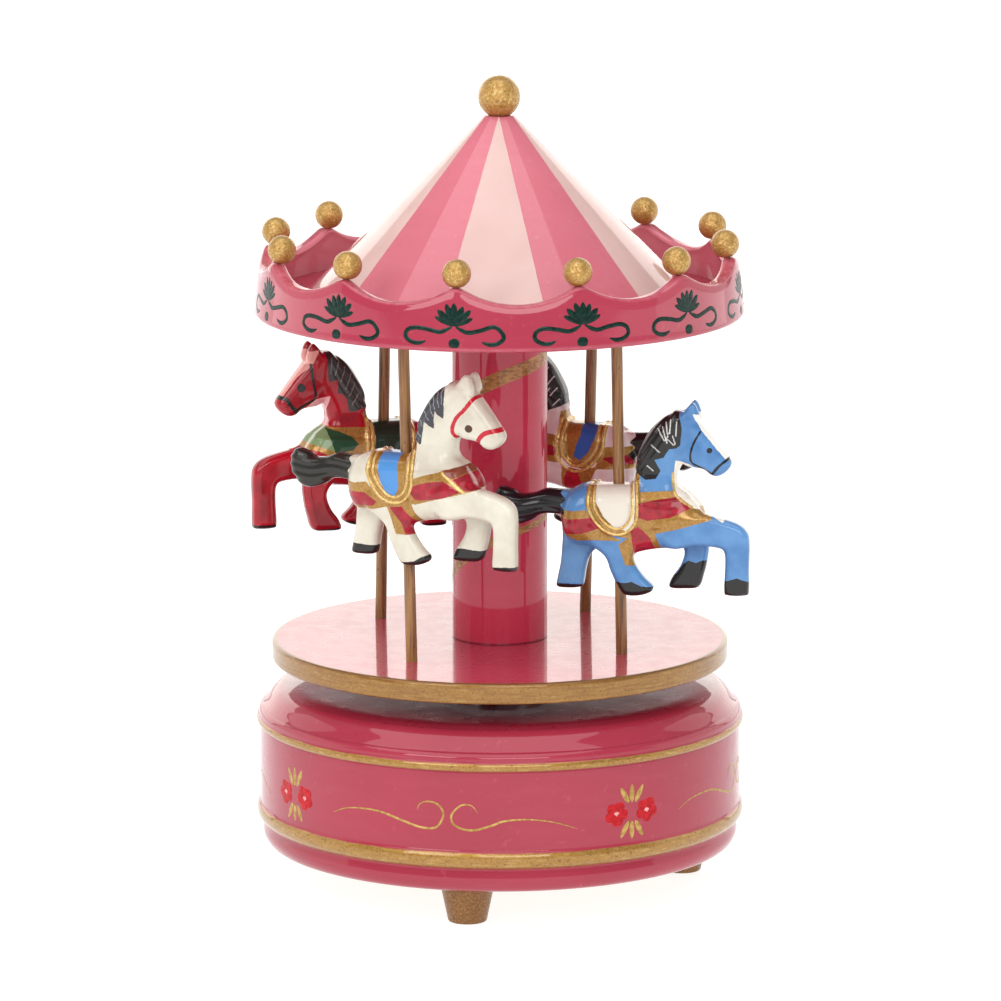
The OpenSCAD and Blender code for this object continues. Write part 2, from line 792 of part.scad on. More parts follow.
module fly() {
    wing_t = 0.5;
    hub_r = 1.3;
    color("#D8D4C8") translate([worm_x, worm_y, fly_low_z]) difference() {
        union() {
            cylinder(r = hub_r, h = fly_h);
            translate([-fly_r, -wing_t / 2, 0]) cube([2 * fly_r, wing_t, fly_h]);
        }
        translate([0, 0, -1]) cylinder(r = pivot_r, h = fly_h + 2);
    }
}

// ---- what is drawn ----

for (i = [1:foot_count]) foot(i);
for (i = [1:pole_count]) pole(i);
for (i = [1:pole_count]) horse(i);
for (i = [1:peaks]) ball(i);
base_shell();
bottom_board();
board_screws();
foot_screws();
platform();
column();
canopy_floor();
crown_ring();
roof_cone();
finial();
turn_plate();
turn_plate_screws();
bedplate();
bedplate_screws();
spindle_bush();
spindle();
crown_wheel();
spring_barrel();
barrel_lid();
mainspring();
barrel_bridge();
bridge_posts();
bridge_screws();
inner_bracket();
outer_bracket();
cylinder_drum();  // cylinder
cylinder_pins();
cylinder_arbor();
cylinder_wheel();
comb_block();
comb();
comb_screws();
governor_bracket();
governor_arbor();
worm_wheel();
worm();
fly();
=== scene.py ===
"""Looks of the carousel music box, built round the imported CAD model.
Lengths in this script are millimetres and become metres when a mesh or a light is made.
Places on a circle are angles in degrees from the front (-Y) round towards the right (+X)."""
import json
import math

import bpy
import numpy as np
from mathutils import Matrix, Vector


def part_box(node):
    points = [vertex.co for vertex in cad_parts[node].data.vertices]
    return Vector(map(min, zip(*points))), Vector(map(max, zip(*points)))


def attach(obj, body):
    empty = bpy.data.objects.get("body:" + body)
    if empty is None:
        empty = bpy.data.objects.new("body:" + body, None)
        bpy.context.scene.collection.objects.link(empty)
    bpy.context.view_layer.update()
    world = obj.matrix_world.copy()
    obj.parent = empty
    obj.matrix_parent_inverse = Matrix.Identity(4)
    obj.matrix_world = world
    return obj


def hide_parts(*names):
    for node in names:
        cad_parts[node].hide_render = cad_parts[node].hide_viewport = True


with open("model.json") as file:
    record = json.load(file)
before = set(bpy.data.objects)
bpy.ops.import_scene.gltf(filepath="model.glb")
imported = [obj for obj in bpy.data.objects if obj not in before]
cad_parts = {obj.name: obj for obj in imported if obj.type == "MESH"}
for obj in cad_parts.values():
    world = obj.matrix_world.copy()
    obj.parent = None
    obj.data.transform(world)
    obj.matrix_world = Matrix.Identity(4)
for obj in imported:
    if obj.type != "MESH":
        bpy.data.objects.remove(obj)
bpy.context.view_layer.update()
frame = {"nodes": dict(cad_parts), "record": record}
MM = 0.001
TURN = 2 * math.pi


# ---- sizes, taken from the frame ----

def span(node):
    """Lowest and highest corner of a CAD node, in mm."""
    low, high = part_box(node)
    return [v / MM for v in low], [v / MM for v in high]


def top_of(node):
    return span(node)[1][2]


def bottom_of(node):
    return span(node)[0][2]


def radius_of(node):
    return span(node)[1][0]


BASE_R = radius_of("base_shell") - 0.8      # the straight wall between the beads
BASE_LOW, BASE_TOP = bottom_of("base_shell"), top_of("base_shell")
BOARD_R, BOARD_TOP = radius_of("bottom_board"), top_of("bottom_board")
CEILING = top_of("bedplate")
BORE_R, SPINDLE_R = 43.8, 4.5
PLATFORM_R = radius_of("platform")
PLATFORM_LOW, PLATFORM_TOP = bottom_of("platform"), top_of("platform")
COLUMN_R = radius_of("column")
CANOPY_LOW, FLOOR_TOP = bottom_of("crown_ring"), top_of("canopy_floor")
CROWN_R, CROWN_TOP = radius_of("crown_ring"), top_of("crown_ring")
CROWN_TAPER, CROWN_T, SCALLOP = 1.2, 3.2, 3.5
PEAKS, PEAK_ANGLE, BALL_R = 12, -10.5, 3.15
ROOF_R, ROOF_TOP = radius_of("roof_cone"), top_of("roof_cone")
POLE_CIRCLE, POLE_ANGLE, POLE_TWIST = 32.9, -35.6, -4
POLE_LOW, POLE_HIGH = bottom_of("pole_1"), top_of("pole_1")
BEAD_LOW_Z, BEAD_HIGH_Z = 16.7, 37.1


# ---- materials ----

def rgb(code):
    """Linear colour of a paint written as six hex digits."""
    parts = [int(code[i:i + 2], 16) / 255 for i in (0, 2, 4)]
    return tuple(c / 12.92 if c < 0.04045 else ((c + 0.055) / 1.055) ** 2.4 for c in parts) + (1.0,)


class Finish:
    """A material's nodes. Patterns are in mm of the piece's own coordinates, and a colour may be
    given as six hex digits."""

    def __init__(self, name, **constants):
        self.material = bpy.data.materials.new(name)
        self.material.use_nodes = True
        self.tree = self.material.node_tree
        self.tree.nodes.clear()
        out = self.tree.nodes.new("ShaderNodeOutputMaterial")
        self.shader = self.tree.nodes.new("ShaderNodeBsdfPrincipled")
        self.feed(out.inputs[0], self.shader.outputs[0])
        for socket, value in constants.items():
            self.shader.inputs[socket.replace("_", " ")].default_value = value
        place = self.tree.nodes.new("ShaderNodeTexCoord").outputs["Object"]
        self.place = self.make("VectorMath", {0: place, "Scale": 1 / MM}, operation="SCALE")
        axes = self.tree.nodes.new("ShaderNodeSeparateXYZ")
        self.feed(axes.inputs[0], self.place)
        self.x, self.y, self.z = axes.outputs

    def feed(self, socket, value):
        if isinstance(value, bpy.types.NodeSocket):
            self.tree.links.new(value, socket)
        else:
            socket.default_value = rgb(value) if isinstance(value, str) else value

    def make(self, kind, inputs, output=0, **options):
        """Adds a node, feeds its inputs and gives one of its outputs."""
        made = self.tree.nodes.new("ShaderNode" + kind)
        for key, value in options.items():
            setattr(made, key, value)
        for key, value in inputs.items():
            self.feed(made.inputs[key], value)
        return made.outputs[output]

    def math(self, operation, a, b=0.0, clamp=False):
        return self.make("Math", {0: a, 1: b}, operation=operation, use_clamp=clamp)

    def add(self, a, b):
        return self.math("ADD", a, b)

    def mul(self, a, b):
        return self.math("MULTIPLY", a, b)

    def radius(self):
        """Distance from the piece's own Z axis."""
        return self.math("SQRT", self.add(self.mul(self.x, self.x), self.mul(self.y, self.y)))

    def attribute(self, name):
        return self.make("Attribute", {}, "Fac", attribute_name=name)

    def stretched(self, sx, sy, sz):
        return self.make("VectorMath", {0: self.place, 1: (sx, sy, sz)}, operation="MULTIPLY")

    def noise(self, size, detail=3.0, roughness=0.55, place=None):
        """Soft noise from 0 to 1 whose blotches are about `size` mm across."""
        return self.make("TexNoise", {"Vector": place or self.place, "Scale": 1 / size,
                                      "Detail": detail, "Roughness": roughness})

    def wobble(self, size, detail, height):
        """Noise about zero, to make an edge uneven by up to half of `height` mm either way."""
        return self.mul(self.add(self.noise(size, detail), -0.5), height)

    def cells(self, size):
        return self.make("TexVoronoi", {"Vector": self.place, "Scale": 1 / size}, "Distance")

    def step(self, value, low, high, to_low=0.0, to_high=1.0):
        return self.make("MapRange", {"Value": value, "From Min": low, "From Max": high,
                                      "To Min": to_low, "To Max": to_high},
                         interpolation_type="SMOOTHSTEP")

    def mix(self, share, a, b):
        return self.make("Mix", {0: share, 6: a, 7: b}, 2, data_type="RGBA")

    def blend(self, share, a, b):
        return self.make("Mix", {0: share, 2: a, 3: b}, data_type="FLOAT")

    def relief(self, height, depth):
        """Bump whose full height is `depth` mm."""
        bump = self.make("Bump", {"Strength": 1.0, "Distance": depth * MM, "Height": height})
        self.feed(self.shader.inputs["Normal"], bump)

    def surface(self, colour, roughness, metallic=0.0):
        for key, value in (("Base Color", colour), ("Roughness", roughness), ("Metallic", metallic)):
            self.feed(self.shader.inputs[key], value)
        return self.material


PINK, PINK_DEEP, PINK_PALE = "AA3347", "A02D40", "BC5465"
GOLD, GOLD_DARK, GOLD_PALE = "AA7F3C", "80592A", "CDAC68"


def gold_over(f, share, under):
    """Gold paint laid over another colour where share is 1: (colour, metallic share, grain)."""
    grain = f.noise(0.55, 4, 0.7)
    streaks = f.noise(2.4, 3, 0.6, f.stretched(1, 1, 4))
    gold = f.mix(f.step(grain, 0.34, 0.5), GOLD_DARK, GOLD)
    gold = f.mix(f.mul(f.step(streaks, 0.5, 0.75), 0.55), gold, GOLD_PALE)
    return f.mix(share, under, gold), f.mul(share, 0.45), grain


def lacquer_tone(f, deep=PINK_DEEP, mid=PINK, pale=PINK_PALE):
    """Brushed pink lacquer: broad clouds, fine streaks round the axis and small rubbed spots."""
    clouds = f.noise(34, 2, 0.5)
    streaks = f.noise(5, 3, 0.6, f.stretched(0.3, 0.3, 2.2))
    tone = f.mix(f.step(clouds, 0.25, 0.75), deep, mid)
    tone = f.mix(f.mul(f.step(streaks, 0.45, 0.85), 0.16), tone, pale)
    rubbed = f.step(f.noise(1.8, 1.0), 0.66, 0.8)
    return f.mix(f.mul(rubbed, 0.3), tone, pale)


def lacquer_gloss(f, extra=None):
    """Orange peel and brush marks under a clear coat."""
    peel = f.noise(2.4, 0.0)
    waves = f.noise(16, 0.0)
    height = f.add(f.mul(peel, 0.06), waves)
    if extra is not None:
        height = f.add(height, extra)
    f.relief(height, 0.025)
    return f.step(f.noise(4, 3), 0.3, 0.8, 0.26, 0.4)


def coated(name, weight=0.9):
    return Finish(name, Coat_Weight=weight, Coat_Roughness=0.035, Specular_IOR_Level=0.05)


def base_finish():
    f = coated("pink_lacquer_base")
    z = f.add(f.z, f.wobble(9, 2, 0.5))
    upper = f.step(f.math("ABSOLUTE", f.add(z, -BEAD_HIGH_Z + 0.12)), 0.82, 0.94, 1.0, 0.0)
    lower = f.step(f.math("ABSOLUTE", f.add(z, -BEAD_LOW_Z + 0.45)), 1.75, 1.9, 1.0, 0.0)
    wall = f.step(f.radius(), BASE_R - 3, BASE_R - 2.5)
    share = f.mul(f.math("ADD", upper, lower, clamp=True), wall)
    wear_and_sheen = f.step(f.noise(3.2, 4, 0.7, f.stretched(0.5, 0.5, 3)), 0.66, 0.74)
    share = f.mul(share, f.add(1.0, f.mul(wear_and_sheen, -0.45)))
    colour, metal, grain = gold_over(f, share, lacquer_tone(f))
    gloss = lacquer_gloss(f, f.mul(f.mul(grain, share), 0.5))
    return f.surface(colour, f.blend(share, gloss, 0.38), metal)


def platform_finish():
    f = coated("pink_lacquer_platform")
    edge = f.step(f.add(f.radius(), f.wobble(7, 3, 0.5)), PLATFORM_R - 1.25, PLATFORM_R - 1.1)
    tone = lacquer_tone(f, "B63E52", "BE475B", "C86074")
    colour, metal, grain = gold_over(f, edge, tone)
    worn_place = f.add(f.z, f.mul(f.add(f.noise(3, 4, 0.7), -0.5), 1.1))
    worn = f.mul(f.step(worn_place, PLATFORM_TOP - 0.6, PLATFORM_TOP - 0.3), edge)
    colour = f.mix(f.mul(worn, 0.5), colour, "6E3F22")
    scrape = f.step(f.noise(2.2, 4, 0.7, f.stretched(0.25, 0.25, 4)), 0.42, 0.66)
    colour = f.mix(f.mul(edge, f.add(0.3, f.mul(scrape, 0.5))), colour, "845828")
    gloss = lacquer_gloss(f, f.mul(f.mul(grain, edge), 0.6))
    return f.surface(colour, f.blend(edge, gloss, 0.42), metal)


def column_finish():
    f = coated("pink_lacquer_column")
    # Painted light: this pink is a lighter copy of the lacquer, to make up for the shade that the canopy
    # and platform cast on the column.
    tone = lacquer_tone(f, "BA2E46", "C4364F", "CC5068")
    # A thin darker band round the foot of the column, just above the platform.
    foot_band_place = f.add(f.z, f.mul(f.noise(2), 0.3))
    foot_band = f.step(foot_band_place, PLATFORM_TOP + 0.45, PLATFORM_TOP + 0.6, 1.0, 0.0)
    tone = f.mix(f.mul(foot_band, 0.7), tone, "6A1A2C")
    return f.surface(tone, lacquer_gloss(f))


def crown_finish():
    f = coated("pink_lacquer_crown")
    tone = lacquer_tone(f, "A63348", "B23D51", "C05868")
    # Painted reflection: the inner face of the ring is painted a paler pink, standing in for the bright
    # roof and surroundings that it reflects.
    inside = f.step(f.radius(), CROWN_R - CROWN_T - 0.4, CROWN_R - CROWN_T + 0.4, 1.0, 0.0)
    tone = f.mix(f.mul(inside, 0.75), tone, "DE8290")
    # Painted highlight: the top of the rounded rim is painted a lighter pink in patches, standing in for
    # light catching the edge.
    rim = f.step(f.attribute("rim"), 0.15, 0.9)
    wear_and_sheen = f.step(f.noise(2.6, 4, 0.7), 0.35, 0.7, 0.15, 0.5)
    tone = f.mix(f.mul(rim, wear_and_sheen), tone, "D88490")
    return f.surface(tone, lacquer_gloss(f))


def floor_finish():
    f = coated("pink_lacquer_floor")
    return f.surface(lacquer_tone(f), lacquer_gloss(f))


def roof_finish():
    """Five cream and five pink stripes that run from the eaves to the tip, brushed by hand: the
    cream ones close up to a point, and the stripes are a little wider on the back."""
    f = coated("striped_lacquer")
    degree = math.pi / 180
    angle = f.add(f.mul(f.math("ARCTAN2", f.x, f.mul(f.y, -1.0)), 1 / degree), 1.7)
    spread = f.mul(f.math("SINE", f.mul(angle, degree)), 4.0)
    fold = f.math("PINGPONG", f.add(f.add(angle, spread), 360.0), 36.0)
    half_width = f.mul(f.add(f.radius(), -3.0), 0.32)
    reach = f.add(f.mul(f.mul(fold, degree), f.radius()), f.mul(half_width, -1.0))
    cream = f.step(f.add(reach, f.wobble(5, 3, 0.3)), -0.08, 0.08, 1.0, 0.0)
    # The pink stripes are lighter than the other pink lacquer; part of that lightness is a painted
    # reflection of the bright sky on the sloping roof.
    pink = lacquer_tone(f, "CC6A7A", "D57584", "DE8C98")
    pale = f.mix(f.step(f.noise(18, 2), 0.3, 0.7), "D6B0AA", "DFBDB7")
    colour = f.mix(cream, pink, pale)
    ridge = f.mul(f.step(f.math("ABSOLUTE", reach), 0.0, 0.22, 1.0, 0.0), 1.2)
    return f.surface(colour, lacquer_gloss(f, ridge))


def gold_finish(name, dark, mid, pale, size=0.5, depth=0.12):
    """Metallic paint over raw turned wood: speckled, pitted and rubbed."""
    f = Finish(name, Coat_Weight=0.35, Coat_Roughness=0.22)
    grain = f.noise(size, 5, 0.75)
    pits = f.step(f.cells(size * 1.5), 0.1, 0.24, 1.0, 0.0)
    patchy = f.step(f.noise(size * 5, 3), 0.4, 0.6)
    tone = f.mix(f.step(grain, 0.3, 0.5), dark, mid)
    tone = f.mix(f.mul(f.step(grain, 0.5, 0.66), 0.8), tone, pale)
    tone = f.mix(f.mul(f.mul(pits, patchy), 0.45), tone, dark)
    f.relief(f.add(grain, f.mul(pits, -0.5)), depth)
    return f.surface(tone, f.step(grain, 0.3, 0.7, 0.46, 0.3), f.step(grain, 0.35, 0.6, 0.4, 0.7))


def dowel_finish():
    """Stained dowel: long streaks along the pole and small dark dents."""
    f = Finish("stained_dowel", Coat_Weight=0.4, Coat_Roughness=0.2)
    long_grain = f.stretched(3.2, 3.2, 0.09)
    grain = f.noise(1.4, 5, 0.7, long_grain)
    broad = f.noise(3.2, 2, 0.5, f.stretched(1, 1, 0.1))
    tone = f.mix(f.step(grain, 0.36, 0.62), "5E3A1E", "9A6A38")
    tone = f.mix(f.mul(f.step(broad, 0.45, 0.7), 0.55), tone, "B98B4E")
    dents = f.step(f.cells(3.0), 0.05, 0.1, 1.0, 0.0)
    tone = f.mix(f.mul(dents, 0.7), tone, "3A2414")
    f.relief(grain, 0.08)
    return f.surface(tone, f.step(grain, 0.3, 0.7, 0.5, 0.36), 0.12)


def board_finish():
    f = Finish("bare_wood")
    grain = f.noise(2.2, 5, 0.7, f.stretched(0.08, 2.2, 1))
    tone = f.mix(f.step(grain, 0.3, 0.7), "8F6A3E", "C8A16A")
    f.relief(grain, 0.1)
    return f.surface(tone, f.step(grain, 0.3, 0.7, 0.72, 0.58))


def metal_finish(name, dark, light, rough, stretch=(1, 1, 1)):
    """Machined metal: brush marks, dull stains and worn bright spots."""
    f = Finish(name)
    marks = f.noise(0.5, 4, 0.7, f.stretched(*stretch))
    stains = f.noise(4, 4, 0.6)
    tone = f.mix(f.step(marks, 0.3, 0.7), dark, light)
    tone = f.mix(f.mul(f.step(stains, 0.5, 0.75), 0.35), tone, dark)
    f.relief(marks, 0.02)
    return f.surface(tone, f.step(stains, 0.3, 0.7, rough, rough + 0.16), 1.0)


def paint_finish(name, low, high, metallic=0.0, size=1.0):
    """A thin brushed ornament."""
    f = coated(name, 0.3)
    brush = f.noise(size, 4, 0.65)
    f.relief(brush, 0.03)
    tone = f.mix(f.step(brush, 0.36, 0.64), low, high)
    return f.surface(tone, f.step(brush, 0.3, 0.7, 0.42, 0.28), metallic)


# ---- mesh helpers ----

def put(piece, body, slot, *nodes):
    """Rides a finished piece on its body and hides the CAD nodes that it stands in for."""
    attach(piece, body)
    if nodes:
        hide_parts(*nodes)
    return piece


def solid(name, points, faces, materials):
    """An object with smooth faces, from points in mm."""
    mesh = bpy.data.meshes.new(name)
    mesh.from_pydata((np.asarray(points, float) * MM).tolist(), [], faces)
    mesh.polygons.foreach_set("use_smooth", np.ones(len(mesh.polygons), bool))
    for material in materials:
        mesh.materials.append(material)
    mesh.update()
    made = bpy.data.objects.new(name, mesh)
    bpy.context.scene.collection.objects.link(made)
    return made


def vertex_layer(piece, name, values):
    """Stores one number for each vertex, for the material to read."""
    layer = piece.data.attributes.new(name, "FLOAT", "POINT")
    layer.data.foreach_set("value", np.asarray(values, np.float32))


def rounded(corners, closed=False, steps=6):
    """Corners are (radius, height, rounding). Each turns into a short curve that starts and ends
    `rounding` away from the corner, or half a side away where that is less."""
    path = []
    for i, (r, z, size) in enumerate(corners):
        here = np.array([r, z], float)
        if size == 0 or (not closed and i in (0, len(corners) - 1)):
            path.append(here)
            continue
        ends = []
        for other in (corners[i - 1], corners[(i + 1) % len(corners)]):
            away = np.array(other[:2], float) - here
            ends.append(here + away * min(size / np.linalg.norm(away), 0.5))
        for t in np.linspace(0, 1, steps):
            path.append((1 - t) ** 2 * ends[0] + 2 * t * (1 - t) * here + t * t * ends[1])
    return path


def arc(r, z, size, start, end, steps=14):
    """Points of a circle's arc in the profile, from angle start to end above the outward direction."""
    angles = np.radians(np.linspace(start, end, steps))
    return [(r + size * math.cos(a), z + size * math.sin(a)) for a in angles]


def held(profile, closed, long=1.6, near=0.3):
    """Adds a point close to both ends of every long straight, so that it stays flat when the
    faces are shaded smooth."""
    profile = [np.array(p, float) for p in profile]
    path = []
    for a, b in zip(profile, profile[1:] + (profile[:1] if closed else [])):
        path.append(a)
        length = np.linalg.norm(b - a)
        if length > long:
            path += [a + (b - a) * near / length, b - (b - a) * near / length]
    return path if closed else path + profile[-1:]


def lathe_mesh(profile, segments, closed=False):
    """A profile of (radius, height) turned round the Z axis. It runs up the outside, so that the
    faces look outwards, and a point on the axis becomes a single vertex."""
    angle = np.arange(segments) * TURN / segments
    points, rings = [], []
    for r, z in profile:
        if r < 1e-6:
            rings.append([len(points)] * segments)
            points.append((0, 0, z))
        else:
            rings.append(list(range(len(points), len(points) + segments)))
            points.extend(zip(r * np.sin(angle), -r * np.cos(angle), [z] * segments))
    faces = []
    following = rings[1:] + rings[:1] if closed else rings[1:]
    for low, high in zip(rings, following):
        for k in range(segments):
            n = (k + 1) % segments
            faces.append(list(dict.fromkeys((low[k], low[n], high[n], high[k]))))
    return points, faces


def lathe(name, profile, material, segments, closed=False):
    points, faces = lathe_mesh(held(profile, closed), segments, closed)
    return solid(name, points, faces, [material])


def around(r, angle):
    """The place on a circle at an angle from the front."""
    a = math.radians(angle)
    return r * math.sin(a), -r * math.cos(a)


# ---- turned pieces ----

def base():
    shoulder = BASE_TOP - BEAD_HIGH_Z
    foot_roll = [(BASE_R - 3.9, BASE_LOW, 0.5), (BASE_R - 1.6, BASE_LOW + 0.6, 1.2),
                 (BASE_R - 0.3, BASE_LOW + 3.0, 1.6), (BASE_R - 0.9, BASE_LOW + 5.2, 0.6),
                 (BASE_R - 0.9, BEAD_LOW_Z - 2.35, 0)]
    low_bead = arc(BASE_R - 1.8, BEAD_LOW_Z, 2.6, -66, 46)
    high_bead = arc(BASE_R - 0.4, BEAD_HIGH_Z, 1.2, -72, 58)
    top_roll = [(BASE_R + 0.3, BEAD_HIGH_Z + 0.16 * shoulder, 0),
                (BASE_R + 0.25, BEAD_HIGH_Z + 0.3 * shoulder, 1.0),
                (BASE_R - 1.2, BEAD_HIGH_Z + 0.47 * shoulder, 1.2),
                (BASE_R - 3.4, BEAD_HIGH_Z + 0.86 * shoulder, 2.2),
                (BASE_R - 7, BASE_TOP, 2.6), (SPINDLE_R, BASE_TOP, 0.4), (SPINDLE_R, CEILING, 0.2),
                (BORE_R, CEILING, 1), (BORE_R, BOARD_TOP, 0.3), (BOARD_R, BOARD_TOP, 0.2),
                (BOARD_R, BASE_LOW, 0.2)]
    walls = [(BASE_R, BEAD_LOW_Z + 1.95), (BASE_R, BEAD_HIGH_Z - 1.2)]
    profile = rounded(foot_roll) + low_bead + walls + high_bead + rounded(top_roll)
    put(lathe("base_turned", profile, base_finish(), 320, closed=True),
        "base", "pink_lacquer", "base_shell")


def platform():
    edge = 0.9
    profile = rounded([(0, PLATFORM_LOW, 0), (PLATFORM_R, PLATFORM_LOW, edge),
                       (PLATFORM_R, PLATFORM_TOP, edge), (0, PLATFORM_TOP, 0)])
    put(lathe("platform_turned", profile, platform_finish(), 320),
        "carousel", "pink_lacquer", "platform")


def column():
    low, high = bottom_of("column"), top_of("column")
    spigot = 6
    profile = rounded([(0, low, 0), (spigot, low, 0.3), (spigot, PLATFORM_TOP, 0),
                       (COLUMN_R, PLATFORM_TOP, 0.15), (COLUMN_R, CANOPY_LOW, 0.15),
                       (spigot, CANOPY_LOW, 0), (spigot, high, 0.3), (0, high, 0)])
    put(lathe("column_turned", profile, column_finish(), 160),
        "carousel", "pink_lacquer", "column")


def roof():
    tip, rise, gap = 3.2, ROOF_TOP - FLOOR_TOP, 0.02
    cone = [(ROOF_R - (ROOF_R - tip) / rise * h, FLOOR_TOP + h) for h in np.linspace(0.4, rise, 24)]
    profile = [(0, FLOOR_TOP + gap), (ROOF_R - 0.3, FLOOR_TOP + gap)] + cone + [(0, ROOF_TOP)]
    put(lathe("roof_turned", profile, roof_finish(), 360),
        "carousel", "striped_lacquer", "roof_cone")


def knob(name, node, size, material, segments, seed):
    """A turned ball with a flat underneath, a little out of true."""
    low, high = span(node)
    centre = [(low[0] + high[0]) / 2, (low[1] + high[1]) / 2, high[2] - size]
    start = -math.degrees(math.asin(min(1, (centre[2] - max(low[2], centre[2] - size)) / size)))
    angles = np.radians(np.linspace(start, 90, segments // 2))
    cut, under = size * math.cos(angles[0]), size * math.sin(angles[0])
    profile = [(0, under)] + ([(cut * 0.97, under)] if cut > 0.01 else [])
    profile += [(size * math.cos(a), size * math.sin(a)) for a in angles[1:-1]] + [(0, size)]
    points, faces = lathe_mesh(profile, segments)
    points = np.array(points)
    wave = np.sin(points @ (0.9, 0.5, 0.7) + seed) * np.sin(points @ (-0.4, 1.1, 0.6))
    points *= (1 - 0.008 * (1 + wave))[:, None]
    made = solid(name, points, faces, [material])
    made.location = Vector(centre) * MM
    made.rotation_euler = (0, 0, seed)
    bpy.context.view_layer.update()
    put(made, "carousel", "gold_paint", node)


def knobs():
    gold = gold_finish("gold_paint_ball", "8A6230", "B98E46", "E8CE8A")
    large = gold_finish("gold_paint_finial", "8A6230", "BC9048", "E8CE8A", 0.7, 0.16)
    for i in range(PEAKS):
        knob(f"ball_turned_{i + 1}", f"ball_{i + 1}", BALL_R, gold, 48, i * 1.7)
    low, high = span("finial")
    knob("finial_turned", "finial", (high[0] - low[0]) / 2, large, 96, 0.6)


def feet():
    bronze = gold_finish("bronze_paint", "5A3818", "85592C", "B58C54", 0.4, 0.14)
    for i in (1, 2, 3):
        low, high = span(f"foot_{i}")
        r, h = (high[0] - low[0]) / 2, high[2] - low[2]
        profile = rounded([(0, 0, 0), (r - 1.7, 0, 0.5), (r - 1.5, 1.0, 0.7),
                           (r - 0.3, h - 1.9, 0.8), (r, h - 1.0, 0.4), (r, h, 0.15), (0, h, 0)])
        made = lathe(f"foot_turned_{i}", profile, bronze, 72)
        made.location = Vector(((low[0] + high[0]) / 2, (low[1] + high[1]) / 2, low[2])) * MM
        bpy.context.view_layer.update()
        put(made, "base", "bronze_paint", f"foot_{i}")


# ---- crown ----

def crown_face(z):
    """Radius of the crown's leaning outside."""
    return CROWN_R - CROWN_TAPER * (z - CANOPY_LOW) / (CROWN_TOP - CANOPY_LOW)


def crown_height(angle):
    """Height of the scalloped edge at an angle, soft at the peaks."""
    step = 360 / PEAKS
    inner = CROWN_R - CROWN_T - CROWN_TAPER
    half = inner * math.sin(math.radians(step / 2)) - 0.9
    curve = (half ** 2 + SCALLOP ** 2) / (2 * SCALLOP)
    off = (angle - PEAK_ANGLE) % step - step / 2
    side = np.minimum(inner * np.sin(np.radians(np.abs(off))), half)
    return CROWN_TOP - SCALLOP + curve - np.sqrt(curve ** 2 - side ** 2)


def crown_section(top):
    """The ring's section up to a height, from the inside of its lower edge out and over the top,
    as (radius, height, share of the rounded rim)."""
    lip, foot, edge = 1.0, crown_face(CANOPY_LOW), crown_face(top)
    section = [(foot - CROWN_T + 0.3, CANOPY_LOW, 0), (foot - 0.7, CANOPY_LOW, 0),
               (foot - 0.2, CANOPY_LOW + 0.15, 0.3), (foot, CANOPY_LOW + 0.6, 0.6)]
    section += [(crown_face(z), z, 0) for z in np.linspace(CANOPY_LOW + 1.2, top - lip - 0.2, 8)]
    for middle, start in ((edge - lip, 0), (edge - CROWN_T + lip, 90)):
        section += [(middle + lip * math.cos(a), top - lip + lip * math.sin(a), math.sin(a))
                    for a in np.radians(np.linspace(start, start + 90, 7))]
    return section + [(crown_face(z) - CROWN_T, z, 0)
                      for z in np.linspace(top - lip - 0.2, CANOPY_LOW + 0.3, 8)]


def crown():
    """The ring with its scallops: one section for each step round it."""
    count = PEAKS * 48
    angles = np.arange(count) * 360 / count
    soft = (0.1, 0.2, 0.4, 0.2, 0.1)
    tops = crown_height(angles)
    tops = sum(w * np.roll(tops, k - 2) for k, w in enumerate(soft))
    points, rims = [], []
    for angle, top in zip(angles, tops):
        section = crown_section(top)
        points += [(*around(r, angle), z) for r, z, _ in section]
        rims += [rim for _, _, rim in section]
    rows, faces = len(points) // count, []
    for i in range(count):
        for k in range(rows):
            a, b, up = i * rows, ((i + 1) % count) * rows, (k + 1) % rows
            faces.append((a + k, b + k, b + up, a + up))
    made = solid("crown_turned", points, faces, [crown_finish()])
    vertex_layer(made, "rim", rims)
    put(made, "carousel", "pink_lacquer", "crown_ring")


# ---- painted ornaments, laid on a turned face ----

def smooth_path(points, steps, closed=False):
    """A curve through all the points."""
    p = np.array(points, float)
    n, out = len(p), []
    pick = (lambda k: p[k % n]) if closed else (lambda k: p[min(max(k, 0), n - 1)])
    for i in range(n if closed else n - 1):
        a, b, c, d = (pick(i + k) for k in (-1, 0, 1, 2))
        for t in np.arange(steps) / steps:
            out.append(0.5 * (2 * b + (c - a) * t + (2 * a - 5 * b + 4 * c - d) * t * t
                              + (3 * b - a - 3 * c + d) * t ** 3))
    if not closed:
        out.append(p[-1])
    return np.array(out)


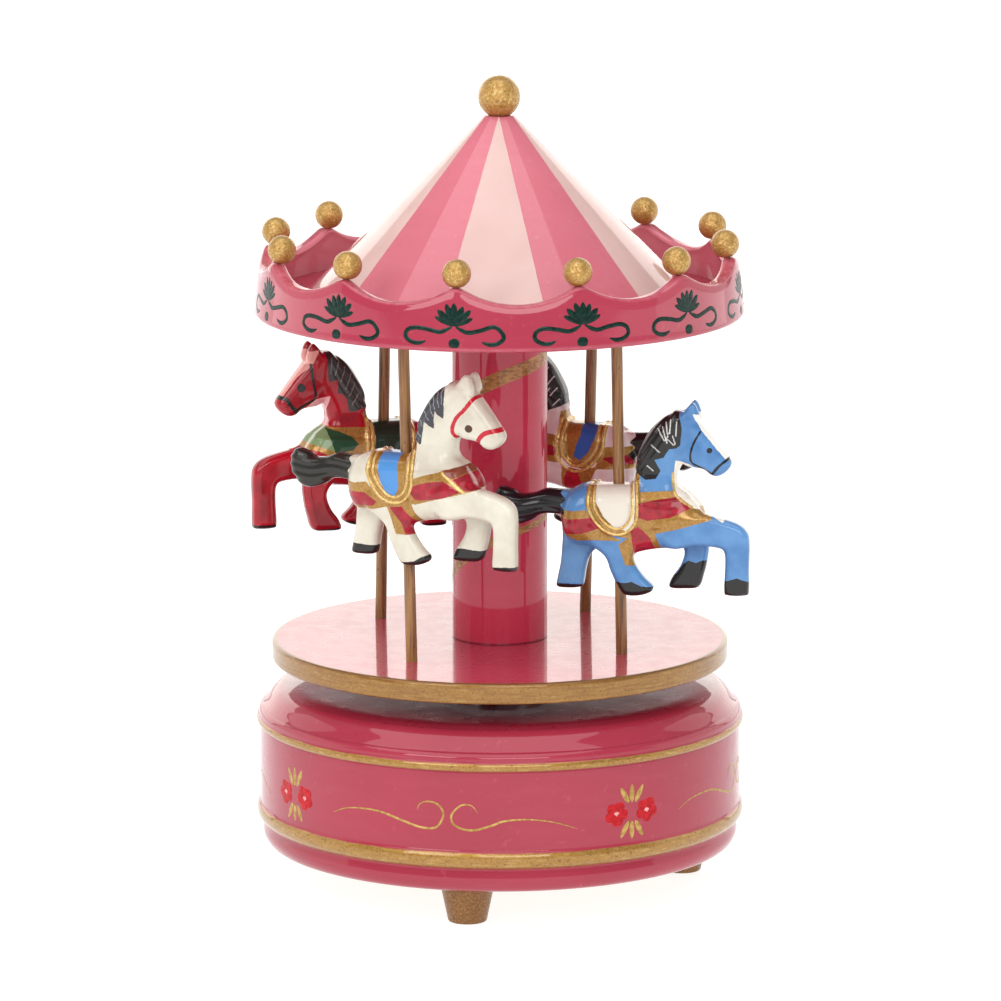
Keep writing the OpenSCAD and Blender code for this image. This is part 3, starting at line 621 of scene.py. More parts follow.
class Ornament:
    """Brush strokes on a turned face. Places are (angle, height), and face(height) is its radius."""

    section = ((-1, -0.5), (-0.75, 0.7), (0, 1.0), (0.75, 0.7), (1, -0.5))

    def __init__(self, face, lift=0.045):
        self.face, self.lift = face, lift
        self.points, self.faces, self.slots = [], [], []

    def stroke(self, path, width, slot=0, taper=0.0, steps=8):
        """One brush stroke along a path. Its width is a number, thinned over the share `taper` at
        each end, or a function of the share of the path."""
        line = smooth_path(path, steps)
        radius = self.face(line[:, 1].mean())
        flat = np.stack([np.radians(line[:, 0]) * radius, line[:, 1]], 1)
        along = np.gradient(flat, axis=0)
        along /= np.linalg.norm(along, axis=1)[:, None]
        across = np.stack([-along[:, 1], along[:, 0]], 1)
        share = np.linspace(0, 1, len(flat))
        if callable(width):
            half = np.array([width(s) for s in share]) / 2
        else:
            ends = np.minimum(share, 1 - share) / max(taper, 1e-6)
            half = width / 2 * np.clip(np.sqrt(np.clip(ends, 0, 1)), 0.12 if taper else 1, 1)
        start, rows = len(self.points), len(self.section)
        for (s, z), (ds, dz), h in zip(flat, across, half):
            for side, up in self.section:
                ps, pz = s + ds * h * side, z + dz * h * side
                r = self.face(pz) + self.lift * up
                self.points.append((*around(r, math.degrees(ps / radius)), pz))
        for i in range(len(flat) - 1):
            for a in range(start + i * rows, start + (i + 1) * rows - 1):
                self.faces.append((a + 1, a + rows + 1, a + rows, a))
                self.slots.append(slot)

    def blob(self, angle, height, size, slot=0):
        """A round dab of paint."""
        radius = self.face(height)
        reach = math.degrees(size / radius)
        chord = lambda s: 2 * size * math.sqrt(max(0.02, 1 - (2 * s - 1) ** 2))
        self.stroke([(angle - reach, height), (angle + reach, height)], chord, slot, steps=14)

    def leaf(self, root, tip, size, slot=0, belly=0.4):
        """A leaf or petal from its root to its tip, widest at the belly."""
        def width(s):
            rise = s / belly if s < belly else (1 - s) / (1 - belly)
            return size * math.sqrt(max(0.004, math.sin(rise * math.pi / 2) ** 1.5))
        self.stroke([root, tip], width, slot, steps=12)

    def finish(self, name, materials):
        made = solid(name, self.points, self.faces, materials)
        made.data.polygons.foreach_set("material_index", self.slots)
        return made


def crown_motifs():
    """Twelve palmettes with a pair of scrolls below, each brushed a little differently."""
    green = paint_finish("motif_green", "0A211C", "16362E", size=0.8)
    art = Ornament(crown_face)
    rng = np.random.default_rng(12)
    for i in range(PEAKS):
        middle = PEAK_ANGLE + i * 360 / PEAKS
        jitter = lambda size: float(rng.normal(0, size))
        for off, height in ((0, 138.1), (-2.1, 137.9), (2.1, 137.7), (-4.1, 136.9), (4.2, 136.6),
                            (-4.9, 135.2), (5, 135)):
            tip = (middle + off * 0.92 + jitter(0.12), height + jitter(0.15))
            width = 1.6 if abs(off) < 4.5 else 1.2
            art.leaf((middle + off * 0.05, 133.3), tip, width, belly=0.62)
        for side in (-1, 1):
            sway = jitter(0.2)
            path = [(0.4, 133.2), (2, 132.4), (3.6, 132), (6.3, 132.5), (9.2, 132.9 + sway),
                    (11, 132.1), (11.4, 130.7), (10, 129.7), (8.2, 129.5), (6.5, 130)]
            art.stroke([(middle + side * a, z) for a, z in path], 1.05, taper=0.12)
        art.blob(middle + jitter(0.15), 129.6, 1.2)
    put(art.finish("crown_motifs", [green]), "carousel", "pink_lacquer")


def base_motifs():
    """Four pairs of flowers with leaves, and four double scrolls between them."""
    paints = [paint_finish("flower_red", "A80E1A", "C81C26"),
              paint_finish("flower_heart", "E08A90", "F2B8B4"),
              paint_finish("scroll_gold", "A07E3C", "C8A860", 0.25)]
    red, heart, gold = range(3)
    stem, petal_z, reach = 25.4, 25.3, 1.55
    art = Ornament(lambda z: BASE_R)
    rng = np.random.default_rng(5)
    for k in range(4):
        pair = 32.5 + 90 * k
        for up in (1, -1):
            for lean in (-1, 0, 1):
                height = stem + up * (5.7 if lean else 6.3) + float(rng.normal(0, 0.15))
                root, tip = (pair + lean * 0.9, stem + up * 2), (pair + lean * 3.1, height)
                art.leaf(root, tip, 1.35, gold, belly=0.45)
        for side in (-1, 1):
            middle = pair + side * 4.2
            tilt = float(rng.uniform(0, 1.2))
            for petal in range(5):
                a = petal * TURN / 5 + tilt
                art.blob(middle + math.degrees(reach / BASE_R) * math.sin(a),
                         petal_z + reach * math.cos(a), 1.3 + float(rng.normal(0, 0.06)), red)
            art.blob(middle, petal_z, 0.62, heart)
        low = -12 + 90 * k
        left = [(-31, 23.9), (-27, 25.4), (-22, 26), (-17, 25.8), (-11, 24.3), (-7, 23.3),
                (-3.6, 23.3), (-2, 24.6), (-1.3, 26.7), (-2.7, 28.6), (-5.2, 29.1), (-7, 28.4),
                (-7.6, 27.2)]
        right = [(6.8, 26.9), (5.5, 28.5), (3.4, 28.7), (1.8, 27.8), (0.6, 26.2), (1.1, 24.4),
                 (3.4, 23.3), (6.2, 23.2), (10, 24.2), (13, 25.2), (18.4, 25.5), (24.5, 24.7),
                 (30.4, 22.9)]
        for path in (left, right):
            art.stroke([(low + a, z) for a, z in path], 0.52, gold, taper=0.3)
    put(art.finish("base_motifs", paints), "base", "pink_lacquer")


def column_ribbon():
    """A gold-brown ribbon that winds up the column from left to right on the front."""
    f = coated("ribbon_gold", 0.6)
    streaks = f.noise(1.4, 5, 0.7, f.stretched(1, 1, 2.6))
    tone = f.mix(f.step(streaks, 0.36, 0.62), "8A5A38", "B8844E")
    tone = f.mix(f.mul(f.step(streaks, 0.6, 0.75), 0.4), tone, "D0A468")
    f.relief(streaks, 0.05)
    paint = f.surface(tone, f.step(streaks, 0.3, 0.7, 0.46, 0.3), 0.25)
    art = Ornament(lambda z: COLUMN_R, 0.05)
    rise, first, sway, phase, margin = 35.8, 75.5, 3.4, 68, 2
    height = lambda a: first + rise * a / 360 - sway * math.sin(math.radians(a - phase))
    shown = lambda a: PLATFORM_TOP + margin < height(a) < CANOPY_LOW - margin
    angles = [a for a in range(-720, 1080, 12) if shown(a)]
    start, turned = angles[0], angles[-1] - angles[0]
    brush = lambda share: np.interp(start + share * turned, (-60, 40, 340), (3, 1.7, 3.6))
    art.stroke([(a, height(a)) for a in angles], brush, steps=3)
    put(art.finish("column_ribbon", [paint]), "carousel", "pink_lacquer")


# ---- horses: one mould, used four times ----

def shape(text):
    """An outline or path drawn in the side view, in mm: "x,z x,z ..."."""
    return [tuple(float(v) for v in pair.split(",")) for pair in text.split()]


def shapes(text):
    """Several of them, with | in between."""
    return [shape(part) for part in text.split("|")]


CELL = 0.25
TRUNK = shape("""-11.4,-6.5 -10.7,-3.4 -8.7,-1.2 -6,-0.1 -3,0.2 2,0.3 5,-0.1 9,-0.9 13.5,-1.2 17,-3
    18.7,-6.2 18.1,-9.6 16.3,-12 12,-13.2 7,-14.1 3,-14.9 -1,-13.6 -5,-12.9 -9.4,-12.7 -11.2,-10.4""")
NECK = shape("""3.6,-3 4,1 4.5,4.6 5.6,8.6 8,12.8 11,15.4 13.4,16.6 15.2,15.6 16.4,12 15.8,8 14.3,5
    13.4,2.6 13.6,0 15.6,-2.6 12,-6 7,-6""")
HEAD = shape("""12.8,15.6 14.6,16.5 16.6,16 18.4,14.3 20.9,11.4 23.4,8.3 24.9,6.4 25.1,5 24,3.5 22.4,2.6
    20.8,2.8 19.4,3.9 17.4,4.8 15.6,6.2 13.6,9""")
EAR = shape("14.2,14.8 14.9,16.8 16.4,18.6 17.1,18.7 17.9,17.4 18.2,14.8")
STRETCHED_FORELEG = shape("""9,-8 13,-5.4 18.5,-5.5 23,-6.2 27,-7.4 29.1,-9.2 29.6,-12 29.5,-17 29.5,-22
    28.9,-23.1 25,-23.2 24.1,-22.2 24.3,-17 24.1,-13.7 22.6,-12.7 18,-12.4 12,-12.9""")
FORWARD_HINDLEG = shape("""-6,-8 0,-9 3.6,-12.6 4.3,-16.4 6.4,-19.6 8.4,-21.6 8,-22.9 5.4,-23.8 2.3,-23.7
    0.8,-21.9 -0.8,-18.6 -2.2,-15.2 -6,-12""")
BENT_FORELEG = shape("""13,-8 19,-8 19.9,-12.5 19.6,-16.5 18.8,-20 17.7,-22.8 14.5,-23.3 11.3,-23.1
    11.7,-21 13.6,-18.2 14.5,-15 13.2,-12""")
BACKWARD_HINDLEG = shape("""-11.8,-7 -5,-8 -3.6,-13 -6.2,-16.2 -7.2,-19.4 -7.7,-22.6 -8.4,-23.6 -11,-23.9
    -13.6,-23.6 -13.5,-21.6 -12.8,-18 -12.4,-13""")
TAIL = shape("""-8,-1.8 -12.3,-1.5 -15.7,-1.3 -18.4,-2.3 -21.2,-2.5 -23.2,-1.6 -25.4,-1.1 -26.8,-2.4
    -26.9,-5.6 -25.2,-8.2 -22.8,-9.6 -19.7,-8.7 -16.3,-7 -12.6,-6.8 -8,-6.6""")
OUTER_RIDGE = shape("""-5.3,1.4 -5.6,-3.6 -4.3,-6.9 -1.9,-9.3 0.9,-10.1 3.4,-9.2 4.9,-6.8 5.2,-3.6
    4.7,1.4""")
INNER_RIDGE = shape("-4.2,1.4 -4.3,-3.3 -3.1,-6.2 -1.2,-8.2 0.9,-8.9 2.7,-8 3.8,-6 4.1,-3.3 3.6,1.4")
STRAP_RELIEF = shape("3,-3 13,-1.8 21,-1.4 21,-6.4 13,-8.4 3,-9.8")


def line_distance(x, z, path):
    """Distance to an open path in the side view."""
    p = np.asarray(path, float)
    best = np.full(np.broadcast(x, z).shape, 1e9)
    for (ax, az), (bx, bz) in zip(p, p[1:]):
        ex, ez = bx - ax, bz - az
        t = np.clip(((x - ax) * ex + (z - az) * ez) / (ex * ex + ez * ez + 1e-12), 0, 1)
        best = np.minimum(best, (x - ax - t * ex) ** 2 + (z - az - t * ez) ** 2)
    return np.sqrt(best)


def area_distance(x, z, outline):
    """Signed distance to a closed outline in the side view, negative inside."""
    p = np.asarray(outline, float)
    p = np.concatenate([p, p[:1]])
    inside = np.zeros(np.broadcast(x, z).shape, bool)
    for (ax, az), (bx, bz) in zip(p, p[1:]):
        if az != bz:
            inside ^= ((az > z) != (bz > z)) & (x < (bx - ax) * (z - az) / (bz - az) + ax)
    return np.where(inside, -1, 1) * line_distance(x, z, p)


def join(a, b, soft):
    """Smooth union of two solids."""
    h = np.clip(0.5 + 0.5 * (b - a) / soft, 0, 1)
    return b * (1 - h) + a * h - soft * h * (1 - h)


def puffed(flat, y, centre, half, edge):
    """A flat outline given thickness, with its edges rounded by `edge`."""
    a = flat + edge
    b = np.abs(y - centre) - (half - edge)
    return np.minimum(np.maximum(a, b), 0) + np.hypot(np.maximum(a, 0), np.maximum(b, 0)) - edge


def ball_shape(x, y, z, centre, size):
    cx, cy, cz = centre
    sx, sy, sz = size
    near = np.sqrt(((x - cx) / sx) ** 2 + ((y - cy) / sy) ** 2 + ((z - cz) / sz) ** 2)
    return (near - 1) * min(size)


CURVES = {name: smooth_path(path, 4, closed=True) for name, path in (
    ("trunk", TRUNK), ("neck", NECK), ("head", HEAD), ("ear", EAR), ("fore", STRETCHED_FORELEG),
    ("hind", FORWARD_HINDLEG), ("bent", BENT_FORELEG), ("back", BACKWARD_HINDLEG), ("tail", TAIL))}
RIDGES = [smooth_path(OUTER_RIDGE, 4), smooth_path(INNER_RIDGE, 4)]
MANE_BAND = shape("""13.2,17.6 11,16.4 7,13.6 4.6,9 3.4,3.6 6.3,2.6 7.8,5.4 9.8,7 11.4,9.4 12.6,12
    13.4,15""")


def horse_field(x, y, z):
    """Signed distance of the moulded horse, in its own frame: x forwards, y left, z up."""
    flat = {name: area_distance(x, z, curve) for name, curve in CURVES.items()}
    body = puffed(flat["trunk"], y, 0, 5.0, 3.9)
    body = join(body, ball_shape(x, np.abs(y), z, (-6.5, 2.0, -6.6), (5.2, 3.2, 5.8)), 1.6)
    body = join(body, ball_shape(x, np.abs(y), z, (13.2, 2.0, -7.2), (5.2, 3.1, 5.4)), 1.6)
    neck_half = 3.3 + np.clip((3 - z) * 0.16, 0, 1.2)
    neck = puffed(flat["neck"], y, 0, neck_half, 2.6)
    body = join(body, neck, 2.0)
    head_half = 3.1 - np.clip((x - 16) * 0.1, 0, 0.9)
    head = puffed(flat["head"], y, 0, head_half, 1.9)
    body = join(body, head, 1.0)
    body = join(body, ball_shape(x, np.abs(y), z, (16.7, 1.6, 7.6), (2.9, 1.7, 3.0)), 0.9)
    body = join(body, puffed(flat["ear"], np.abs(y), 1.9, 1.05, 0.8), 0.7)
    body = join(body, puffed(flat["fore"], y, -3.3, 1.95, 1.5), 1.3)
    body = join(body, puffed(flat["hind"], y, -3.3, 2.0, 1.5), 1.3)
    body = join(body, puffed(flat["bent"], y, 3.3, 1.95, 1.5), 1.3)
    body = join(body, puffed(flat["back"], y, 3.3, 2.0, 1.5), 1.3)
    tail = puffed(flat["tail"], y, 0, 2.3, 1.9) - 0.1 * np.sin(z * 3.6 + np.sin(x * 0.5) * 1.6)
    body = join(body, tail, 0.5)
    side = np.clip((np.abs(y) - 1.5) / 1.5, 0, 1)
    relief = sum(0.5 * np.exp(-(line_distance(x, z, ridge) / 0.5) ** 2) for ridge in RIDGES)
    strap = np.clip(-area_distance(x, z, STRAP_RELIEF) / 0.6, 0, 1) * 0.22
    mane = np.clip(-area_distance(x, z, MANE_BAND) / 0.9, 0, 1)
    locks = mane * (0.4 + 0.13 * np.sin((x * 0.85 - z * 0.55) * 4.2))
    notch = 0.35 * np.exp(-(line_distance(x, z, [(25.4, 4.7), (22.6, 4.5)]) / 0.28) ** 2)
    return body - relief * side - strap * side - locks + notch * side


def surface_net(field, low, high, cell):
    """Vertices and quads of the zero level of a field, one vertex in each cell that it crosses."""
    x, y, z = (np.arange(a, b + cell, cell) for a, b in zip(low, high))
    f = field(x[:, None, None], y[None, :, None], z[None, None, :]).astype(np.float32)
    shape = tuple(n - 1 for n in f.shape)
    total, count = np.zeros(shape + (3,), np.float32), np.zeros(shape, np.float32)
    corner = lambda i, j, k: f[i:i + shape[0], j:j + shape[1], k:k + shape[2]]
    for axis, u, v in np.ndindex(3, 2, 2):
        at = [u, v]
        at.insert(axis, 0)
        to = list(at)
        to[axis] = 1
        a, b = corner(*at), corner(*to)
        crossed = (a < 0) != (b < 0)
        share = np.where(crossed, a / np.where(crossed, a - b, 1), 0)
        for d in range(3):
            total[..., d] += crossed * (at[d] + (share if d == axis else 0))
        count += crossed
    used = count > 0
    number = np.full(shape, -1, np.int64)
    number[used] = np.arange(used.sum())
    cells = np.argwhere(used)
    points = (cells + total[used] / count[used][:, None]) * cell + np.array(low)
    quads = []
    for axis in range(3):
        a = f[tuple(slice(0, -1) if d == axis else slice(1, -1) for d in range(3))]
        b = f[tuple(slice(1, None) if d == axis else slice(1, -1) for d in range(3))]
        crossed = (a < 0) != (b < 0)
        beside = np.array([d != axis for d in range(3)], int)
        where = np.argwhere(crossed) + beside
        p, q = np.eye(3, dtype=int)[beside > 0]
        ring = np.stack([number[tuple((where - step).T)] for step in (0 * p, p, p + q, q)], 1)
        back = (a < 0)[crossed] == (axis == 1)
        ring[back] = ring[back][:, ::-1]
        quads.append(ring)
    return points, np.concatenate(quads)


def settle(points, field):
    """Moves each point onto the zero level along the field's slope."""
    eps = 0.02
    at = lambda p: field(p[:, 0], p[:, 1], p[:, 2])
    for _ in range(2):
        value = at(points)
        slope = np.stack([(at(points + eps * axis) - value) / eps for axis in np.eye(3)], 1)
        points = points - slope * (value / np.maximum((slope ** 2).sum(1), 0.25))[:, None]
    return points


MANE_STROKES = shapes("""10.2,14.6 10.9,11.4 | 11.4,15.2 11.6,12.2 | 8.2,12.6 9.4,9.4 | 9.2,13.6 10,10.6 |
    6.8,10.6 8.4,8.4 | 5.9,8.2 7.4,6.4 | 5.4,5.6 6.8,4.2 | 7.4,8.2 8.4,7""")
WHITE_HORSE = {
    "gold": shapes("""2.5,-5.4 7,-3.9 12,-2.4 16,-1.3 22,-0.6 22,-5.4 17.4,-6.8 11,-8.6 5.8,-10.2 3,-10 |
        -13,-6.4 -9,-6.5 -6,-6 -4.5,-7.6 -2.2,-9.6 -0.4,-11 -4.5,-12 -9,-12.2 -13,-11.8 | -1.6,-9.6
        1.5,-10 4.4,-9 5.6,-12 7,-14.4 6,-17 1.2,-17 0,-13.5 | -5.9,3 -6.2,-3.6 -4.7,-7.3 -2.2,-9.9
        0.9,-10.8 3.6,-9.8 5.4,-7 5.7,-3.6 5.1,3"""),
    # Painted shadow: this brown patch on the front of the breast strap stands in for the shade along the
    # strap.
    "brown": shapes("12.4,-2.2 16,-1.2 22,-0.5 22,-1.6 18.9,-1.8 14.8,-3.8 13.5,-3.3"),
    "crimson": shapes("""4.6,-7.5 5.4,-6.1 8.8,-5 12.8,-4.4 15,-5.4 17,-6.5 13.4,-7.9 8.6,-9 5.8,-9.2 |
        14.9,-4 18.9,-1.9 23,-1.9 23,-5.2 18.2,-6.3 | -13,-8.5 -10.4,-8.6 -6.3,-8.4 -3.4,-10.2 -4.2,-11.2
        -8.5,-11.6 -13,-11.1 | -0.4,-11.2 2.5,-10.8 5.4,-14.3 5.2,-17 3.6,-17 2.6,-14.6"""),
    "panel": shapes("-3.3,3 -3.4,-2.8 -2.6,-5.8 -1,-8.4 0.8,-8.8 1.7,-6.8 1.4,-3.3 1,3"),
    "line": [(shape("12.2,-2.3 13.5,-3.5 17.9,-6.7"), 0.24)],
    "mane": shapes("""12.2,18 8,16 4,12 2.6,5 4.6,3.6 6.3,2.7 6.7,4.4 7.3,8 8.4,7.2 9.6,6.5 9.7,8.4
        9.9,10.7 10.8,9.5 11.8,8.8 12.1,13"""),
    "bridle": [(shape("18.8,13.9 17,11.5 14.9,9.2 13.8,6.8 14.4,4.8 16.6,3.9 19.2,2.6"), 0.42),
        (shape("24.8,7.2 21.4,6.3 19.6,4.2 18.9,2.6"), 0.52)],
    "eye": ((17.9, 7.2), 0.85),
    "hooves": shapes("""-16,-21.2 -7,-21.6 -6,-26 -16,-26 | -1,-22.9 2.5,-23.2 5.5,-22.7 7.4,-21.6
        9.4,-20.8 9.4,-26 -1,-26 | 9.6,-20.8 14,-20.3 20.5,-20.6 20.5,-26 9.6,-26 | 22,-22.1 25,-22.3
        28,-22 31,-22.2 31,-26 22,-26"""),
    "strokes": MANE_STROKES,
}
BLUE_HORSE = {
    # Painted reflection: the pale strip down the front of the neck and chest stands in for light
    # reflected at a glancing angle.
    "chest_sheen": shapes("13.2,6.2 12.8,3 12.8,0.5 13.8,-1.7 17,-3.9 20.7,-5.4 24,-7 25,-3 19,3 16.2,5.4"),
    "gold": shapes("""4.6,-0.9 9,-0.6 13,-0.3 14,-2 17.1,-4 21,-5.2 21.4,-6.4 15.3,-8.2 9,-9.8 10.2,-13
        9,-17 2.6,-17 1,-12.4 3.8,-10.4 5.2,-8 | -5.9,3 -6.2,-3.8 -4.6,-7.3 -1.6,-10 3,-11 5.7,-8.6 6,-4.6
        5.4,3 | -13,-5.4 -9,-5.3 -6,-4.8 -4.5,-7.4 -1,-10.2 2,-11.6 -4,-11.5 -8.4,-12 -10.2,-11.2
        -13,-10.8"""),
    "crimson": shapes("""5.2,-3.2 10.1,-2.2 14.2,-1.5 17.2,-3.8 12.4,-6 7.4,-6.9 5.4,-6.3 | -13,-7.2
        -9.9,-7.2 -4.6,-6.5 -3,-8.8 -7.1,-10.2 -13,-10.9 | 3.7,-9.2 5.3,-8.2 7.9,-10.7 8.9,-13.4 8.6,-17
        4.6,-17"""),
    "panel": shapes("-4,3 -4,-3 -2.2,-6.5 0.4,-8.8 3.2,-9.4 4.4,-8 4.7,-2.8 4,3"),
    "line": [(shape("12.6,3.4 12.8,0.6 13.8,-1.6 17,-3.8"), 0.24)],
    "mane": shapes("""13.6,18 8,16.5 4,11 3,3 4.8,3 6.8,1.8 9,2.1 10,3.8 8.6,6.3 10.7,6.8 11.8,8.7
        13.4,8.9 14.3,9.6 14.6,13.2"""),
    "bridle": [(shape("18.6,12.6 16.9,9.4 16.6,6.2 18.6,4.7 21.2,3.2"), 0.22),
        (shape("24.6,6.6 22.6,5 21.2,3.2"), 0.3)],
    "eye": ((20.6, 8.5), 0.62),
    "hooves": shapes("""-16,-22.6 -7,-22.9 -6,-26 -16,-26 | -1,-20.4 2,-20.9 4,-20.6 6,-21.5 9.4,-21.8
        9.4,-26 -1,-26 | 9.6,-20.2 12.8,-20 14.4,-17.6 15.6,-16.8 17.2,-17.3 18.6,-16.7 21,-17 21,-26
        9.6,-26 | 22,-20.6 25.4,-19.6 27,-19.1 28.6,-19.6 31,-20.6 31,-26 22,-26"""),
    "blaze": shapes("16.8,16.6 18.7,13 22,8.9 24.2,6.3 26.5,6.5 25,11 20,16"),
    "strokes": shapes("""9.4,13.2 10.8,10.6 | 10.4,13.6 11.4,10 | 12.2,15.2 12,12.2 | 13.5,14.8 13.3,11.6
        | 8,9.6 9.8,8 | 11,11.4 12.8,9.6 | 7,5 8.4,3.8 | 11.2,14.6 11.6,11.4 | 12.6,11.6 13.2,9.8"""),
}
RED_HORSE = {
    # Painted reflection: the pale pink strip on the front of the neck stands in for light reflected at a
    # glancing angle.
    "chest_sheen": shapes("13.2,7 13.7,4.2 13.2,1.4 13.6,-0.3 18.6,0.6 20,3 17,6.4"),
    "gold": shapes("""4.2,-0.4 14.2,0.1 22,0.6 22,-4.2 16.6,-5 12,-7.2 4.4,-8 | -5.9,3 -6.2,-3.6 -4.7,-7.3
        -2.2,-9.9 0.9,-10.8 3.6,-9.8 5.2,-7 5.4,-3.6 5.4,3 | -13,-5 -6,-4.8 -3,-9.4 -1,-11.6 -13,-10.8 |
        0,-10 4.4,-9.4 6.4,-12.6 6.6,-17 1,-17"""),
    "brown": shapes("14.2,-0.1 18.6,0.5 23,-0.3 23,-2.4 16.8,-3.8 12.8,-5.3"),
    "crimson": shapes("""-13,-6.6 -6.2,-6.4 -4.2,-9.6 -13,-9.4 | 1.4,-11 4.2,-10.6 5.4,-13 5.2,-17
        2.4,-17"""),
    "green": shapes("14.3,-0.1 11.5,-1 8.8,-2.2 7.4,-3.9 8.8,-5.2 12.9,-5.6 13.8,-3"),
    "panel": shapes("-4,3 -3.9,-3 -2.4,-6.6 0.2,-8.6 2.6,-7.6 3.4,-5 3.4,3"),
    "line": [(shape("4.9,1.4 3.9,-0.5 3.6,-3.6 5,-6.6"), 0.3)],
    "mane": shapes("""14.2,18 8,16.5 4,11 3,4.4 6.1,3.7 7.5,3.1 9,3.4 9.4,6 10.3,7.2 11.6,7.6 11.4,9.2
        11.7,10.7 12.6,10.3 13.6,10.2 13.9,13"""),
    "bridle": [(shape("17.6,14.2 17.2,10.4 16.8,7 18.4,5.6 20.8,4.2"), 0.3),
        (shape("25.2,7 23.3,6.7 22.2,5.1 20.8,3.6"), 0.42)],
    "eye": ((19.9, 9.1), 0.95),
    "hooves": shapes("""-16,-22.8 -6,-23 -6,-26 -16,-26 | -1,-23 9.4,-22.4 9.4,-26 -1,-26 | 9.6,-22.6
        20.5,-22.8 20.5,-26 9.6,-26 | 22,-22.2 31,-22.2 31,-26 22,-26"""),
    "blaze": shapes("15.6,17.4 17.3,14.1 20.6,11.4 22.8,8.5 24,7 26.5,7 25,11 20,17"),
    "strokes": shapes("""12.9,15.4 13.1,12 | 11.4,14.6 12.2,11.6 | 9.8,13.4 10.9,10.2 | 8.4,11.8 9.8,8.4 |
        7.6,9.6 9,6.6 | 6.8,7.2 8.2,4.6"""),
}
REAR_HORSE = dict(
    WHITE_HORSE,
    gold=shapes("""4.2,-2.4 14,-1 22,-0.6 22,-5.8 14,-7.6 4.2,-8.4 | -13,-4 -5.6,-4.2 -3.6,-9.4 -13,-8.7 |
        4.2,-9 0,-9.6 -4.4,-8.8 -2,-12.6 -2.4,-17 4.6,-17 | -6.1,3 -6.1,-4 -4.5,-7.5 -1.2,-9.6 2.2,-9
        4.8,-6.4 5.4,-2.6 5.2,3"""),
    brown=[],
    crimson=shapes("""4.9,-5.6 6,-4.6 12,-3.4 17,-3 23,-3 23,-4.6 17,-5.6 9,-6.9 6,-6.8 | -13,-5.8 -8,-6.2
        -5.4,-6.8 -7.4,-7.9 -13,-7.9 | 2.6,-9.4 0.4,-9.6 0,-13 -0.2,-17 4,-17 3.8,-12"""),
    panel=shapes("-3.9,3 -3.7,-1.9 -1.9,-5.8 0,-7.6 1.4,-6.8 0.9,-4.4 -0.1,-2.1 0,3"),
    mane=shapes("12.6,18 8,16.6 4,12 2.8,4.8 4.4,4.4 8.4,2.8 9.4,6.4 10.2,9.4 12.2,10 12.4,14"),
)
STYLES = {
    1: (WHITE_HORSE, "white_horse", dict(coat="DFDACA", shade="CFC8B6", panel="4F8FD2", mane="3C3D44",
                                         bridle="C0182C", stroke="8D8F98", eye="4A2C1A", chest_sheen="EDE7DC",
                                         brown="84402E", tail="26241F")),
    2: (BLUE_HORSE, "blue_horse", dict(coat="6093C8", shade="4C7DB4", panel="E4DED0", mane="1C1A1A",
                                       bridle="181818", stroke="D8D6D0", eye="101010", chest_sheen="EFE6D8",
                                       brown="84402E", tail="17171B", blaze="F2EEE8")),
    3: (REAR_HORSE, "white_horse", dict(coat="EBDFDA", shade="D8C2C2", panel="2F62B4", mane="1C1A1C",
                                        bridle="C0182C", stroke="D0D0D0", eye="4A2C1A", chest_sheen="EBDFDA",
                                        brown="84402E", tail="1C1A1A")),
    4: (RED_HORSE, "red_horse", dict(coat="B81026", shade="8E0A1C", panel="173526", mane="33302F",
                                     bridle="1C2420", stroke="75706E", eye="141414", chest_sheen="E6A8A8",
                                     brown="7F9A6A", tail="22201E", blaze="E8A29A", green="1F4A30")),
}
STRAP_LOW = -17.5        # the straps stop above the legs
SADDLE_Z = (101, 92.8, 97.9, 99.5)
HEADING = (-27, -9, 162, 200)
ASIDE = (-0.9, -0.4, -0.8, -0.3)


def paint_fields(style, x, y, z):
    """Signed distance of each painted layer at every vertex, negative where the paint is."""
    near = lambda shapes: np.min([area_distance(x, z, s) for s in shapes] or [np.full(len(x), 9.0)], 0)
    drawn = lambda lines: np.min([line_distance(x, z, smooth_path(p, 4)) - w for p, w in lines], 0)
    layers = {name: near(style.get(name, [])) for name in
              ("chest_sheen", "gold", "brown", "crimson", "green", "panel", "mane", "blaze", "hooves")}
    for name in ("gold", "crimson"):
        layers[name] = np.maximum(layers[name], STRAP_LOW - z)
    layers["line"] = drawn(style["line"])
    layers["bridle"] = np.where(np.abs(y) < 3.6, drawn(style["bridle"]), 9.0)
    layers["stroke"] = np.maximum(drawn([(p, 0.14) for p in style["strokes"]]), layers["mane"] + 0.15)
    layers["ridge"] = np.min([line_distance(x, z, ridge) for ridge in RIDGES], 0) - 0.3
    centre, size = style["eye"]
    layers["eye"] = np.hypot(x - centre[0], z - centre[1]) - size
    tail = area_distance(x, z, CURVES["tail"]) - 0.6
    layers["tail"] = np.maximum(tail, x + 11.6 + 0.5 * np.sin(z * 2.4))
    return layers


